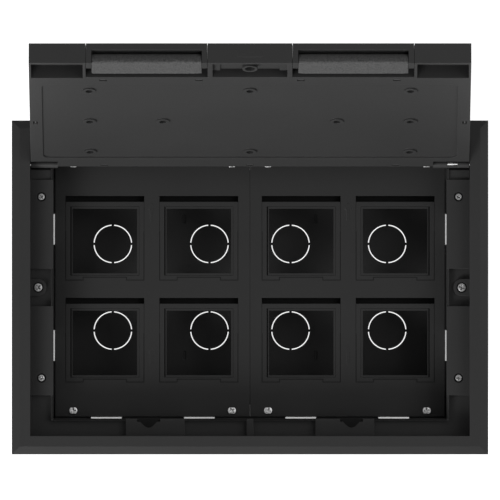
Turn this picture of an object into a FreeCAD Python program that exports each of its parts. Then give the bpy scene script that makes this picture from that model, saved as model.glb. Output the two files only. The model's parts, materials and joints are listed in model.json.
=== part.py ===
"""Floor socket box: a deep tub under a bevelled trim frame, with two device plates and a hinged lid.

The origin is the centre of the tub's underside.  +X runs along the hinge, +Y points to the hinge side and
+Z points up.  The lid is drawn closed, flush with the trim frame, and every lid piece is then turned about
the hinge axis to the open stop.
"""
import FreeCAD, Part
import Sketcher
import os
import re

# Driving dimensions in millimetres, kept in the sheet that every sub-part reads.
SIZES = {
    # trim frame
    "frame_length": 331,          # along the hinge
    "frame_width": 232,
    "total_height": 95,           # underside of the tub to the top of the trim frame
    "flange_width": 12.8,         # from the outer edge to the lid opening
    "flange_thickness": 3.5,
    "bevel_width": 5.5,
    "bevel_drop": 1.8,
    "skirt_wall": 2.5,
    "seat_depth": 15.1,           # top of the frame to the pads that the lid closes on
    "ledge_thickness": 7,
    "pocket_depth": 5,
    "side_ledge": 15.85,
    "front_ledge": 11.9,
    "rim_width": 1.5,             # bevelled rim along the inner edge of a pocket
    "side_pad_near": 13,          # the side pads run from here ...
    "side_pad_setback": 10.6,     # end of the side pads ahead of the hinge axis
    "front_pad_near": 45.5,
    "front_pad_far": 86.3,
    "centre_rib": 4.6,
    "notch_place": 70.5,          # cable notches in the front pads
    "notch_width": 16,
    "notch_depth": 6.2,
    # tub
    "tub_wall": 2,
    "tub_floor": 2.5,
    "ledge_overhang": 0.15,       # ledge edge set back from the tub's inner face
    "ear_length": 20,
    "side_ear_length": 18,
    "ear_thickness": 2,
    "ear_reach": 13,
    "knockout_radius": 12.9,      # middle of the slot
    "knockout_slot": 1.1,
    "knockout_bridge": 1.8,
    "knockout_x_near": 28.3,
    "knockout_x_far": 95.8,
    "knockout_y": 30.25,
    "mark_x": 45.9,
    "mark_y": 47.7,
    "mark_width": 2.3,
    "mark_length": 6.3,
    # support rails
    "rail_sheet": 0.9,
    "rail_foot": 9.5,
    "side_rail_clear": 0.55,      # between a side rail's foot and the windows' collars
    "side_rail_gap": 6.6,         # between a side rail and the end rails
    "rail_tab": 21.2,
    "tab_x_near": 35.3,
    "tab_x_far": 99.9,
    "tab_y": 40.4,
    "tab_below_pad": 1.5,
    "rear_tab_rise": 5,           # above the device plates
    "rail_screw_rise": 3,
    "rail_screw_radius": 1.5,
    "rail_screw_head": 2.8,
    "rail_screw_head_height": 1.6,
    "corner_lap": 1,              # end rails run on behind the side rails
    # device plates
    "plate_depth": 45,            # top of the frame to the device plates
    "plate_thickness": 2.5,
    "plate_side_gap": 0.2,
    "plate_end_gap": 0.35,
    "plate_split": 0.3,
    "window_length": 54.9,
    "window_clip_space": 3.8,     # a window is wider than its module by this
    "window_front": -66,          # front edge of the front row
    "window_pitch": 71,
    "collar_wall": 1.5,
    "collar_depth": 9,
    "collar_ledge": 1.2,
    "plate_tab_length": 30,
    "plate_tab_width": 2,
    "plate_screw_x_near": 12.6,
    "plate_screw_inset_x": 12.5,  # outer screws from the plates' ends
    "plate_screw_inset_y": 4.05,
    "plate_screw_radius": 1.75,
    "plate_screw_head": 2.9,
    "plate_screw_flat": 4.5,
    "plate_screw_rise": 1.6,
    "plate_screw_tail": 2,
    # module frames and inserts
    "module_play": 0.4,           # window to module frame
    "module_height": 6,
    "module_wall": 3.25,
    "module_lip": 1.2,
    "insert_gap": 0.15,
    "insert_shift": 0.3,
    "insert_side_gap": 0.8,
    "module_clear": 0.05,
    "insert_wall": 1.5,
    # fasteners and floor clamps
    "frame_screw_inset": 7.7,     # from the side wall
    "frame_screw_setback": 12,    # from the ends of the side pads
    "frame_screw_head": 2.4,
    "frame_screw_hole": 3.2,
    "frame_screw_radius": 1.6,
    "frame_screw_length": 16,
    "screw_head_height": 2.2,
    "frame_screw_sink": 1,        # head below the pad
    "clamp_inset": 5.4,
    "clamp_hole": 3.65,
    "clamp_head": 2.95,
    "clamp_radius": 2,
    "clamp_boss": 5.9,
    "clamp_boss_rise": 3,
    "clamp_screw_length": 68,
    "claw_level": 24,
    "claw_height": 12,
    "claw_arm": 22,
    "claw_arm_width": 7,
    "claw_hub": 4.2,
    "claw_plate": 3,
    "running_gap": 0.05,
    # lid
    "lid_side_gap": 0.4,
    "lid_thickness": 14.8,
    "hinge_depth": 11.7,          # hinge axis below the top of the frame
    "hinge_setback": 17.6,        # hinge axis ahead of the opening's rear edge
    "lid_rear_gap": 1.4,          # closed lid to the rear edge of the opening
    "lid_undercut": 3.5,          # the underside ends this far ahead of the hinge axis
    "open_angle": 112.4,
    "sweep_gap": 0.35,
    "tray_depth": 3,
    "tray_rim": 2.5,
    "cover_sheet": 1.2,
    "cover_gap": 0.2,
    "inset_margin": 8.7,
    "inset_start": 38,            # distances from the lid's free edge
    "inset_rear_margin": 15.2,
    "inset_depth": 1.25,
    "inset_radius": 5,
    "ring_radius": 4.55,
    "ring_hole": 2.5,
    "ring_inset": 32.7,           # outer rings inside the edge of the inset
    "ring_spacing": 50.7,
    "ring_front_inset": 12.8,
    "ring_rear_inset": 9.9,
    "cover_tab": 4.4,
    "cover_tab_slot": 5.1,
    "cover_slot_width": 3,
    "cover_tab_x_near": 35.1,
    "cover_tab_x_far": 101.2,
    "cover_tab_front": 30.5,
    "cover_tab_rear_inset": 2.3,
    "cover_tab_side_inset": 3.9,
    "cover_tab_margin": 0.5,
    "edge_wall": 2.3,
    "pocket_end": 26.7,
    "end_pocket_length": 35.7,
    "end_pocket_wall": 1.5,
    "lid_pocket_depth": 10,
    "latch_pocket_x": 25.8,
    "latch_pocket_end": 25,
    # hinge
    "barrel_radius": 2.6,
    "left_barrel": 18.7,
    "right_barrel": 25.1,
    "barrel_window": 7.2,
    "barrel_window_inset": 8,     # from the lid's end
    "barrel_recess_start": 1.04,  # ahead of the hinge axis
    "barrel_end": 2,              # left without a bore
    "pin_radius": 1.5,
    "pin_tip_radius": 1.2,
    "pin_bite": 2.2,              # pin inside the frame's side wall
    "pin_length": 16.3,           # release pin inside the lid
    "pin_tip_length": 11.1,
    "spring_wire": 0.25,
    "spring_seat": 1.5,
    # latch
    "latch_x": 22,
    "latch_inset": 5,
    "latch_front": 2.8,
    "latch_rear_gap": 3.4,
    "latch_travel": 3.5,
    "latch_bolt_x": 8,
    "latch_bolt_height": 2.6,
    "latch_bolt_inset": 0.1,
    "latch_slot_gap": 0.6,        # round the bolt in the frame's front wall
    "latch_slot_side_gap": 1,
    "latch_tube_radius": 5.2,
    "latch_tube_hole": 3.5,
    "latch_tube_place": 12,
    "latch_tube_inset": 0.6,
    "latch_lip": 1.5,
    "latch_lip_height": 1,
    "sliding_gap": 0.3,
    # cable flaps
    "flap_near": 29.1,
    "flap_wall_x": 1.9,           # between a flap and the end pocket
    "flap_end": 25.2,
    "flap_bar": 4.9,
    "flap_cheek": 3.7,
    "flap_cheek_length": 9.5,
    "flap_axis": 23,
    "flap_knuckle": 1.9,
    "flap_pin_radius": 1,
    "flap_pin_length": 8,
    "flap_pin_bite": 2,
    "foam_length": 19.5,
    "foam_gap": 0.2,
    # how pieces are put together
    "past": 1,               # a cutting tool runs this far past the face it cuts
    "bite": 0.5,                  # a fused piece starts this far inside its neighbour
    "hair": 0.01,
}

# Lengths that follow from the driving dimensions.
FOLLOWS = {
    "side_pad_far": "hinge_y - side_pad_setback",
    "side_rail_length": "2 * (tub_y - rail_foot - side_rail_gap)",
    "plate_top": "total_height - plate_depth",
    "plate_screw_x_far": "plate_x - plate_screw_inset_x",
    "window_slack": "plate_x - 2 * window_length",      # shared as 7 : 9 : 6 from the middle outwards
    "window_x_near": "window_length / 2 + window_slack * 7 / 22",
    "window_x_far": "plate_x - window_length / 2 - window_slack * 6 / 22",
    "window_width": "window_length + window_clip_space",
    "module_size": "window_length - module_play",
    "module_inner": "module_size - 2 * module_wall",
    "module_opening": "module_inner - 2 * insert_wall",
    "side_rail_foot": "tub_x - window_x_far - window_length / 2 - collar_wall - side_rail_clear",
    "plate_screw_y": "plate_y - plate_screw_inset_y",
    "frame_screw_x": "open_x - frame_screw_inset",
    "frame_screw_y": "side_pad_far - frame_screw_setback",
    "clamp_x": "open_x - clamp_inset",
    "inset_x": "lid_x - inset_margin",
    "underside_length": "hinge_y - lid_undercut - lid_front",
    "inset_end": "underside_length - inset_rear_margin",
    "ring_x_far": "inset_x - ring_inset",
    "ring_x_mid": "ring_x_far - ring_spacing",
    "ring_first": "inset_start + ring_front_inset",
    "ring_middle": "(ring_first + ring_last) / 2",
    "ring_last": "inset_end - ring_rear_inset",
    "cover_tab_rear": "underside_length - cover_tab_rear_inset",
    "cover_tab_side": "lid_x - cover_tab_side_inset",
    "cover_tab_side_place": "(inset_start + inset_end) / 2 + ring_front_inset / 5",
    "end_pocket_near": "end_pocket_far - end_pocket_length",
    "end_pocket_far": "lid_x - end_pocket_wall",
    "flap_far": "end_pocket_near - flap_wall_x",
    "barrel_window_near": "barrel_window_far - barrel_window",
    "barrel_window_far": "lid_x - barrel_window_inset",
    "pin_inner_end": "lid_x - pin_length",
    "pin_shoulder": "lid_x - pin_tip_length",
    "latch_rear": "latch_pocket_end - latch_rear_gap",
    "open_x": "frame_length / 2 - flange_width",
    "open_y": "frame_width / 2 - flange_width",
    "flange_under": "total_height - flange_thickness",
    "pad_top": "total_height - seat_depth",
    "ledge_under": "pad_top - ledge_thickness",
    "pocket_floor": "pad_top - pocket_depth",
    "ledge_x": "open_x - side_ledge",
    "ledge_y": "open_y - front_ledge",
    "tub_x": "ledge_x - ledge_overhang",
    "tub_y": "ledge_y - ledge_overhang",
    "hinge_y": "open_y - hinge_setback",
    "pin_bore": "pin_radius + running_gap",
    "pin_tip_bore": "pin_tip_radius + running_gap",
    "flap_pin_bore": "flap_pin_radius + running_gap",
    "frame_screw_bore": "frame_screw_radius + running_gap",
    "frame_screw_seat": "pad_top - screw_head_height - frame_screw_sink",
    "rail_screw_bore": "rail_screw_radius + running_gap",
    "clamp_bore": "clamp_radius + running_gap",
    "hinge_z": "total_height - hinge_depth",
    "lid_x": "open_x - lid_side_gap",
    "lid_front": "-(open_y - lid_side_gap)",
    "lid_rear": "open_y - lid_rear_gap",
    "lid_under": "total_height - lid_thickness",
    "lid_core_top": "total_height - tray_depth",
    "overhang": "hinge_setback - lid_rear_gap",
    "lid_sweep": "sqrt(overhang * overhang + hinge_depth * hinge_depth)",
    "sweep_clear": "lid_sweep + sweep_gap",
    "rear_wall_y": "hinge_y + sweep_clear",
    "trough_floor": "hinge_z - sweep_clear",
    "trough_under": "trough_floor - skirt_wall",
    "plate_under": "plate_top - plate_thickness",
    "plate_x": "tub_x - rail_sheet - plate_side_gap",
    "plate_y": "tub_y - rail_sheet - plate_end_gap",
    "rail_under": "plate_under - rail_sheet",
    "rail_screw_z": "plate_top + rail_screw_rise",
    "module_under": "plate_top - module_height",
    "collar_under": "plate_top - collar_depth",
    "step_y": "side_pad_far - skirt_wall",
    "foam_rear": "lid_front + foam_length",
    "flap_axis_y": "lid_front + flap_axis",
    "flap_axis_z": "total_height - flap_knuckle",
    "tray_rear": "lid_rear - 3 * tray_rim",
    "latch_under": "lid_under + latch_inset",
    "latch_ceiling": "lid_under + lid_pocket_depth",
    "latch_top": "latch_ceiling - sliding_gap",
    "tube_y": "lid_front + latch_tube_place",
}

doc = FreeCAD.newDocument("floor_socket_box")
sheet = doc.addObject("Spreadsheet::Sheet", "Sizes")
for row, (alias, number) in enumerate(SIZES.items(), start=1):
    sheet.set(f"A{row}", alias)
    sheet.set(f"B{row}", str(number))
    sheet.setAlias(f"B{row}", alias)
doc.recompute()

NODES = []
RAIL_TAB_X = ("-tab_x_far", "-tab_x_near", "tab_x_near", "tab_x_far")
PLATE_SCREW_X = ("-plate_screw_x_far", "-plate_screw_x_near", "plate_screw_x_near", "plate_screw_x_far")
SPRING_TURNS = 9
SIDES = {"left": -1, "right": 1}


def formula(text):
    """A formula spelled for the document: sizes get the sheet's name, derived lengths are opened up."""
    def spell(word):
        name = word.group(0)
        if name in FOLLOWS:
            return f"({formula(FOLLOWS[name])})"
        return f"Sizes.{name}" if name in SIZES else name
    return re.sub(r"[a-z_]+", spell, str(text))


def bind(thing, **formulas):
    """Bind properties of an object to formulas; a double underscore stands for the dot of a sub-property."""
    for name, text in formulas.items():
        thing.setExpression(name.replace("__", "."), formula(text))
    return thing


def place(thing, x=0, y=0, z=0):
    for corner, text in zip("xyz", (x, y, z)):
        thing.setExpression(f"Placement.Base.{corner}", formula(text))
    return thing


def box(x, y, z):
    """A block that spans a (low, high) pair of formulas along each axis."""
    block = doc.addObject("Part::Box", "Block")
    for size, (low, high) in zip(("Length", "Width", "Height"), (x, y, z)):
        block.setExpression(size, formula(f"({high}) - ({low})"))
    return place(block, x[0], y[0], z[0])


def rod(axis, centre, span, radius):
    """A round bar along x, y or z; centre holds its other two coordinates in order, span its two ends."""
    bar = doc.addObject("Part::Cylinder", "Rod")
    bind(bar, Radius=radius, Height=f"({span[1]}) - ({span[0]})")
    first, second = centre
    if axis == "x":
        bar.Placement.Rotation = FreeCAD.Rotation(FreeCAD.Vector(0, 1, 0), 90)
        return place(bar, span[0], first, second)
    if axis == "y":
        bar.Placement.Rotation = FreeCAD.Rotation(FreeCAD.Vector(1, 0, 0), -90)
        return place(bar, first, span[0], second)
    return place(bar, first, second, span[0])


def fuse(*parts):
    joined = doc.addObject("Part::MultiFuse", "Fuse")
    joined.Shapes = list(parts)
    return joined


def cut(base, *tools):
    result = doc.addObject("Part::Cut", "Cut")
    result.Base = base
    result.Tool = tools[0] if len(tools) == 1 else group(*tools)
    return result


def group(*parts):
    """Separate solids kept side by side in one object."""
    together = doc.addObject("Part::Compound", "Group")
    together.Links = list(parts)
    return together


def body(label):
    return doc.addObject("PartDesign::Body", label)


def plane(owner, role):
    return next(item for item in owner.Origin.OriginFeatures if item.Role == role)


def outline(owner, role, points):
    """A closed sketch of straight sides, each corner held at a pair of formulas from the origin."""
    sketch = owner.newObject("Sketcher::SketchObject", "Outline")
    sketch.AttachmentSupport = (plane(owner, role), "")
    sketch.MapMode = "FlatFace"
    count = len(points)
    for index in range(count):
        turn = FreeCAD.Rotation(FreeCAD.Vector(0, 0, 1), 360.0 * index / count)
        step = FreeCAD.Rotation(FreeCAD.Vector(0, 0, 1), 360.0 * (index + 1) / count)
        start, end = (r.multVec(FreeCAD.Vector(10, 0, 0)) for r in (turn, step))
        sketch.addGeometry(Part.LineSegment(start, end))
    for index in range(count):
        sketch.addConstraint(Sketcher.Constraint("Coincident", index, 2, (index + 1) % count, 1))
    for index, corner in enumerate(points):
        for kind, text in zip(("DistanceX", "DistanceY"), corner):
            held = sketch.addConstraint(Sketcher.Constraint(kind, -1, 1, index, 1, 1.0))
            sketch.setExpression(f"Constraints[{held}]", formula(text))
    return sketch


def pad(owner, sketch, length):
    grown = owner.newObject("PartDesign::Pad", "Pad")
    grown.Profile = sketch
    bind(grown, Length=length)
    return grown


def upright_edges(feature):
    """Names of the straight edges that stand along Z."""
    names = []
    for number, edge in enumerate(feature.Shape.Edges, start=1):
        ends = [vertex.Point for vertex in edge.Vertexes]
        if len(ends) == 2 and abs(ends[0].z - ends[1].z) > 1e-6 and (ends[0] - ends[1]).x ** 2 < 1e-9 \
                and (ends[0] - ends[1]).y ** 2 < 1e-9:
            names.append(f"Edge{number}")
    return names


def rounded_block(x, y, z, radius):
    """A block with round upright corners."""
    owner = body("Rounded")
    corners = [(x[0], y[0]), (x[1], y[0]), (x[1], y[1]), (x[0], y[1])]
    grown = pad(owner, outline(owner, "XY_Plane", corners), f"({z[1]}) - ({z[0]})")
    doc.recompute()
    rounding = owner.newObject("PartDesign::Fillet", "Corners")
    rounding.Base = (grown, upright_edges(grown))
    bind(rounding, Radius=radius)
    place(owner, z=z[0])
    return owner


def both(sign, low, high):
    """The span from low to high on one side of the middle, mirrored for the other side."""
    return (low, high) if sign > 0 else (f"-({high})", f"-({low})")


def node(label, thing):
    thing.Label = label
    NODES.append(thing)
    return thing


def on_lid(label, thing):
    """A lid piece, turned about the hinge axis from closed to the open stop."""
    thing.Placement.Rotation = FreeCAD.Rotation(FreeCAD.Vector(-1, 0, 0), 30)
    turn = "Sizes.open_angle * 1 deg"
    thing.setExpression("Placement.Rotation.Angle", turn)
    axis_y, axis_z = formula("hinge_y"), formula("hinge_z")
    thing.setExpression("Placement.Base.y", f"{axis_y} - {axis_y} * cos({turn}) - {axis_z} * sin({turn})")
    thing.setExpression("Placement.Base.z", f"{axis_z} + {axis_y} * sin({turn}) - {axis_z} * cos({turn})")
    return node(label, thing)


# ---- trim frame ------------------------------------------------------------------------------------------

def flange():
    """The bevelled rim that covers the edge of the floor cut-out, cut for the lid and the hinge trough."""
    owner = body("Flange")
    half_x, half_y = "frame_length / 2", "frame_width / 2"
    corners = [(f"-{half_x}", f"-{half_y}"), (half_x, f"-{half_y}"), (half_x, half_y), (f"-{half_x}", half_y)]
    slab = pad(owner, outline(owner, "XY_Plane", corners), "flange_thickness")
    doc.recompute()
    top = slab.Shape.BoundBox.ZMax
    rim = [f"Edge{number}" for number, edge in enumerate(slab.Shape.Edges, start=1)
           if edge.BoundBox.ZMin > top - 1e-6]
    bevel = owner.newObject("PartDesign::Chamfer", "Bevel")
    bevel.Base = (slab, rim)
    bevel.ChamferType = "Two distances"
    bind(bevel, Size="bevel_drop", Size2="bevel_width")
    return place(owner, z="flange_under")


def skirt():
    """Walls under the flange: low ones round the ledges, deeper ones round the hinge trough."""
    outer_x = ("-(open_x + skirt_wall)", "open_x + skirt_wall")
    front = box(outer_x, ("-(open_y + skirt_wall)", "step_y"), ("ledge_under", "flange_under"))
    rear = box(outer_x, ("step_y", "rear_wall_y + skirt_wall"), ("trough_under", "flange_under"))
    return front, rear


def frame_hollows():
    """The lid opening, the well between the ledges, the hinge trough and the pockets in the ledges."""
    mouth = box(("-open_x", "open_x"), ("-open_y", "open_y"), ("pad_top", "total_height + past"))
    well = box(("-ledge_x", "ledge_x"), ("-ledge_y", "ledge_y"), ("trough_under - past", "total_height"))
    trough = box(("-open_x", "open_x"), ("hinge_y - barrel_radius - sweep_gap", "rear_wall_y"),
                 ("trough_floor", "flange_under"))
    behind = box(("-open_x", "open_x"), ("hinge_y", "rear_wall_y"), ("trough_floor", "total_height + past"))
    sweep = doc.addObject("Part::MultiCommon", "Sweep")
    sweep.Shapes = [rod("x", ("hinge_y", "hinge_z"), ("-open_x", "open_x"), "sweep_clear"), behind]
    hollows = [mouth, well, trough, sweep]
    for sign in SIDES.values():
        rim = both(sign, "ledge_x + rim_width", "open_x")
        hollows.append(box(rim, ("side_pad_far", "rear_wall_y"), ("trough_floor", "pad_top + past")))
        hollows.append(box(rim, ("-side_pad_near", "side_pad_near"), ("pocket_floor", "pad_top + past")))
        hollows.append(box(rim, ("-open_y", "-side_pad_far"), ("pocket_floor", "pad_top + past")))
        hollows.append(box(both(sign, "centre_rib / 2", "front_pad_near"),
                           ("-open_y", "-(ledge_y + rim_width)"), ("pocket_floor", "pad_top + past")))
        hollows.append(box(both(sign, "front_pad_far", "open_x - rim_width"),
                           ("-open_y", "-(ledge_y + rim_width)"), ("pocket_floor", "pad_top + past")))
        hollows.append(notch(sign))
    return hollows


def notch(sign):
    """A cable notch in a front pad: a bell that narrows to a round end."""
    middle = f"{sign} * notch_place"
    inner = "-ledge_y"
    mouth = box((f"{middle} - notch_width / 2", f"{middle} + notch_width / 2"),
                (f"{inner} - notch_depth / 3", f"{inner} + past"), ("ledge_under - past", "pad_top + past"))
    crown = rod("z", (middle, f"{inner} - notch_depth / 3"), ("ledge_under - past", "pad_top + past"),
                "notch_depth * 2 / 3")
    return fuse(mouth, crown)


def rim_bevels():
    """Slanting cuts along the inner edge of each pocket."""
    slant = "rim_width * sqrt(2)"
    bars = []
    for sign in SIDES.values():
        for low, high in (("side_pad_far + hair", "hinge_y"), ("-side_pad_near", "side_pad_near"),
                          ("-ledge_y", "-side_pad_far")):
            bar = doc.addObject("Part::Box", "Bevel")
            bind(bar, Length=slant, Width=f"({high}) - ({low})", Height=slant)
            bar.Placement.Rotation = FreeCAD.Rotation(FreeCAD.Vector(0, 1, 0), 45)
            bars.append(place(bar, f"{sign} * ledge_x - rim_width", low, "pad_top"))
    for sign in SIDES.values():
        for low, high in (("centre_rib / 2", "front_pad_near"), ("front_pad_far", "ledge_x")):
            start, end = both(sign, low, high)
            bar = doc.addObject("Part::Box", "Bevel")
            bind(bar, Length=f"({end}) - ({start})", Width=slant, Height=slant)
            bar.Placement.Rotation = FreeCAD.Rotation(FreeCAD.Vector(1, 0, 0), 45)
            bars.append(place(bar, start, "-ledge_y", "pad_top - rim_width"))
    return bars


def clamp_boss(sign):
    """The raised seat of a clamp screw: a round end that runs out to the side wall."""
    height = ("pocket_floor - bite", "pocket_floor + clamp_boss_rise")
    round_end = rod("z", (f"{sign} * clamp_x", "0"), height, "clamp_boss")
    tail = box(both(sign, "clamp_x", "open_x + bite"), ("-clamp_boss", "clamp_boss"), height)
    return fuse(round_end, tail)


def trim_frame():
    block = cut(fuse(flange(), *skirt()), *frame_hollows())
    block = cut(block, *rim_bevels())
    rib = box(("-centre_rib / 2", "centre_rib / 2"), ("-open_y - bite", "-ledge_y"),
              ("ledge_under", "pad_top"))
    block = fuse(block, clamp_boss(-1), clamp_boss(1), rib)
    holes = []
    for sign in SIDES.values():
        seat = "pocket_floor + clamp_boss_rise - screw_head_height"
        holes.append(rod("z", (f"{sign} * clamp_x", "0"), (seat, "pad_top"), "clamp_hole"))
        holes.append(rod("z", (f"{sign} * clamp_x", "0"), ("ledge_under - past", "pad_top"),
                         "clamp_bore"))
        for row in SIDES.values():
            centre = (f"{sign} * frame_screw_x", f"{row} * frame_screw_y")
            holes.append(rod("z", centre, ("frame_screw_seat", "pad_top + past"), "frame_screw_hole"))
            holes.append(rod("z", centre, ("ledge_under - past", "pad_top"), "frame_screw_bore"))
    left_wall = ("-(open_x + skirt_wall + past)", "-(open_x - bite)")
    right_wall = ("open_x - bite", "open_x + skirt_wall + past")
    holes.append(rod("x", ("hinge_y", "hinge_z"), left_wall, "pin_bore"))
    holes.append(rod("x", ("hinge_y", "hinge_z"), right_wall, "pin_tip_bore"))
    slot_x = "latch_bolt_x + latch_slot_side_gap"
    holes.append(box((f"-({slot_x})", slot_x), ("-(open_y + skirt_wall + past)", "-(open_y - bite)"),
                     ("latch_under - latch_slot_gap", "latch_under + latch_bolt_height + latch_slot_gap")))
    node("trim_frame", cut(block, *holes))


# ---- tub -------------------------------------------------------------------------------------------------

def knockout(x, y):
    """Slots round a cable entry disc, held by four bridges."""
    depth = ("-past", "tub_floor + past")
    slot = cut(rod("z", (x, y), depth, "knockout_radius + knockout_slot / 2"),
               rod("z", (x, y), ("-2 * past", "tub_floor + 2 * past"), "knockout_radius - knockout_slot / 2"))
    reach, half = "knockout_radius + knockout_slot", "knockout_bridge / 2"
    across = box((f"{x} - ({reach})", f"{x} + {reach}"), (f"{y} - {half}", f"{y} + {half}"), depth)
    along = box((f"{x} - {half}", f"{x} + {half}"), (f"{y} - ({reach})", f"{y} + {reach}"), depth)
    return cut(slot, across, along)


def obround_mark(x, y):
    """A shallow mark with round ends for a floor fixing."""
    half, depth = "mark_width / 2", ("tub_floor / 2", "tub_floor + past")
    straight = "(mark_length - mark_width) / 2"
    return fuse(box((f"{x} - {half}", f"{x} + {half}"), (f"{y} - {straight}", f"{y} + {straight}"), depth),
                rod("z", (x, f"{y} - {straight}"), depth, half),
                rod("z", (x, f"{y} + {straight}"), depth, half))


def base_tub():
    outer_x, outer_y = "tub_x + tub_wall", "tub_y + tub_wall"
    low = box((f"-({outer_x})", outer_x), (f"-({outer_y})", outer_y), ("0", "trough_under"))
    high = box((f"-({outer_x})", outer_x), (f"-({outer_y})", "step_y"),
               ("trough_under - past", "ledge_under"))
    parts = [low, high]
    ear_z = ("ledge_under - ear_thickness", "ledge_under")
    for sign in SIDES.values():
        for row in SIDES.values():
            middle = f"{row} * frame_screw_y"
            parts.append(box(both(sign, "tub_x + bite", "tub_x + ear_reach"),
                             (f"{middle} - side_ear_length / 2", f"{middle} + side_ear_length / 2"), ear_z))
        middle = f"{sign} * notch_place"
        parts.append(box((f"{middle} - ear_length / 2", f"{middle} + ear_length / 2"),
                         ("-(tub_y + ear_reach)", "-(tub_y + bite)"), ear_z))
    shell = cut(fuse(*parts), box(("-tub_x", "tub_x"), ("-tub_y", "tub_y"), ("tub_floor", "pad_top")))
    tools = []
    for x in ("knockout_x_near", "knockout_x_far"):
        for sign in SIDES.values():
            for row in SIDES.values():
                tools.append(knockout(f"({sign} * {x})", f"({row} * knockout_y)"))
    for sign in SIDES.values():
        for row in SIDES.values():
            tools.append(obround_mark(f"({sign} * mark_x)", f"({row} * mark_y)"))
            tools.append(rod("z", (f"{sign} * frame_screw_x", f"{row} * frame_screw_y"),
                             ("ledge_under - ear_thickness - past", "ledge_under + past"),
                             "frame_screw_bore"))
        for y in ("-tab_y", "tab_y"):
            tools.append(rod("x", (y, "rail_screw_z"), both(sign, "tub_x - past", "tub_x + tub_wall + past"),
                             "rail_screw_bore"))
        for x in ("-tab_x_near", "tab_x_near", "-tab_x_far", "tab_x_far"):
            tools.append(rod("y", (x, "rail_screw_z"), both(sign, "tub_y - past", "tub_y + tub_wall + past"),
                             "rail_screw_bore"))
    node("base_tub", cut(shell, *tools))


# ---- support rails ---------------------------------------------------------------------------------------

def end_rail(name, sign, top):
    """A folded strip across the front or rear of the tub: the plates' screws bite in its foot."""
    length = "plate_x - side_rail_foot + corner_lap"
    wall, inner = "tub_y", "tub_y - rail_sheet"
    foot = box((f"-({length})", length), both(sign, "tub_y - rail_foot", wall), ("rail_under", "plate_under"))
    tabs = [box((f"{x} - rail_tab / 2", f"{x} + rail_tab / 2"), both(sign, inner, wall), ("rail_under", top))
            for x in RAIL_TAB_X]
    holes = [rod("y", (x, "rail_screw_z"), both(sign, f"{inner} - past", f"{wall} + past"),
                 "rail_screw_bore")
             for x in RAIL_TAB_X]
    holes += [rod("z", (x, f"{sign} * plate_screw_y"), ("rail_under - past", "plate_under + past"),
                  "plate_screw_radius + running_gap")
              for x in PLATE_SCREW_X]
    node(name, cut(fuse(foot, *tabs), *holes))


def side_rail(name, sign):
    """A folded strip along a side of the tub, with two tabs."""
    wall, inner = "tub_x", "tub_x - rail_sheet"
    half = "side_rail_length / 2"
    foot = box(both(sign, "tub_x - side_rail_foot", wall), (f"-({half})", half),
               ("rail_under", "plate_under"))
    tabs = [box(both(sign, inner, wall), (f"{y} - rail_tab / 2", f"{y} + rail_tab / 2"),
                ("rail_under", "pad_top - tab_below_pad")) for y in ("-tab_y", "tab_y")]
    holes = [rod("x", (y, "rail_screw_z"), both(sign, f"{inner} - past", f"{wall} + past"),
                 "rail_screw_bore") for y in ("-tab_y", "tab_y")]
    node(name, cut(fuse(foot, *tabs), *holes))


def rail_screws():
    """Short screws from outside the tub into the tabs."""
    outer_x, outer_y = "tub_x + tub_wall", "tub_y + tub_wall"
    screws = []
    for sign in SIDES.values():
        for y in ("-tab_y", "tab_y"):
            shank = rod("x", (y, "rail_screw_z"), both(sign, "tub_x - rail_sheet", f"{outer_x} + bite"),
                        "rail_screw_radius")
            head = rod("x", (y, "rail_screw_z"), both(sign, outer_x, f"{outer_x} + rail_screw_head_height"),
                       "rail_screw_head")
            screws.append(fuse(shank, head))
        for x in RAIL_TAB_X:
            shank = rod("y", (x, "rail_screw_z"), both(sign, "tub_y - rail_sheet", f"{outer_y} + bite"),
                        "rail_screw_radius")
            head = rod("y", (x, "rail_screw_z"), both(sign, outer_y, f"{outer_y} + rail_screw_head_height"),
                       "rail_screw_head")
            screws.append(fuse(shank, head))
    node("rail_screws", group(*screws))


# ---- device plates, module frames and inserts -------------------------------------------------------------

WINDOW_X = {"left": ("-window_x_far", "-window_x_near"), "right": ("window_x_near", "window_x_far")}
WINDOW_ROWS = ("(window_front + window_pitch)", "window_front")


def device_plate(side):
    """One half of the device floor: four windows with collars, and a location tab in each window."""
    sign = SIDES[side]
    slab = box(both(sign, "plate_split / 2", "plate_x"), ("-plate_y", "plate_y"),
               ("plate_under", "plate_top"))
    solids, hollows, tabs = [slab], [], []
    for x in WINDOW_X[side]:
        for y in WINDOW_ROWS:
            low_x, high_x = f"{x} - window_length / 2", f"{x} + window_length / 2"
            rear = f"{y} + window_width"
            solids.append(box((f"{low_x} - collar_wall", f"{high_x} + collar_wall"),
                              (f"{y} - collar_wall", f"{rear} + collar_wall"), ("collar_under", "plate_top")))
            hollows.append(box((low_x, high_x), (y, rear), ("module_under", "plate_top + past")))
            hollows.append(box((f"{low_x} + collar_ledge", f"{high_x} - collar_ledge"),
                               (f"{y} + collar_ledge", rear), ("collar_under - past", "plate_top")))
            tabs.append(box((f"{x} - plate_tab_length / 2", f"{x} + plate_tab_length / 2"),
                            (f"{y} - bite", f"{y} + plate_tab_width"), ("module_under", "plate_top")))
    for x in ("plate_screw_x_near", "plate_screw_x_far"):
        for row in SIDES.values():
            hollows.append(rod("z", (f"{sign} * {x}", f"{row} * plate_screw_y"),
                               ("plate_under - past", "plate_top + past"),
                               "plate_screw_radius + 2 * running_gap"))
    node(f"device_plate_{side}", fuse(cut(fuse(*solids), *hollows), *tabs))


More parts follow.
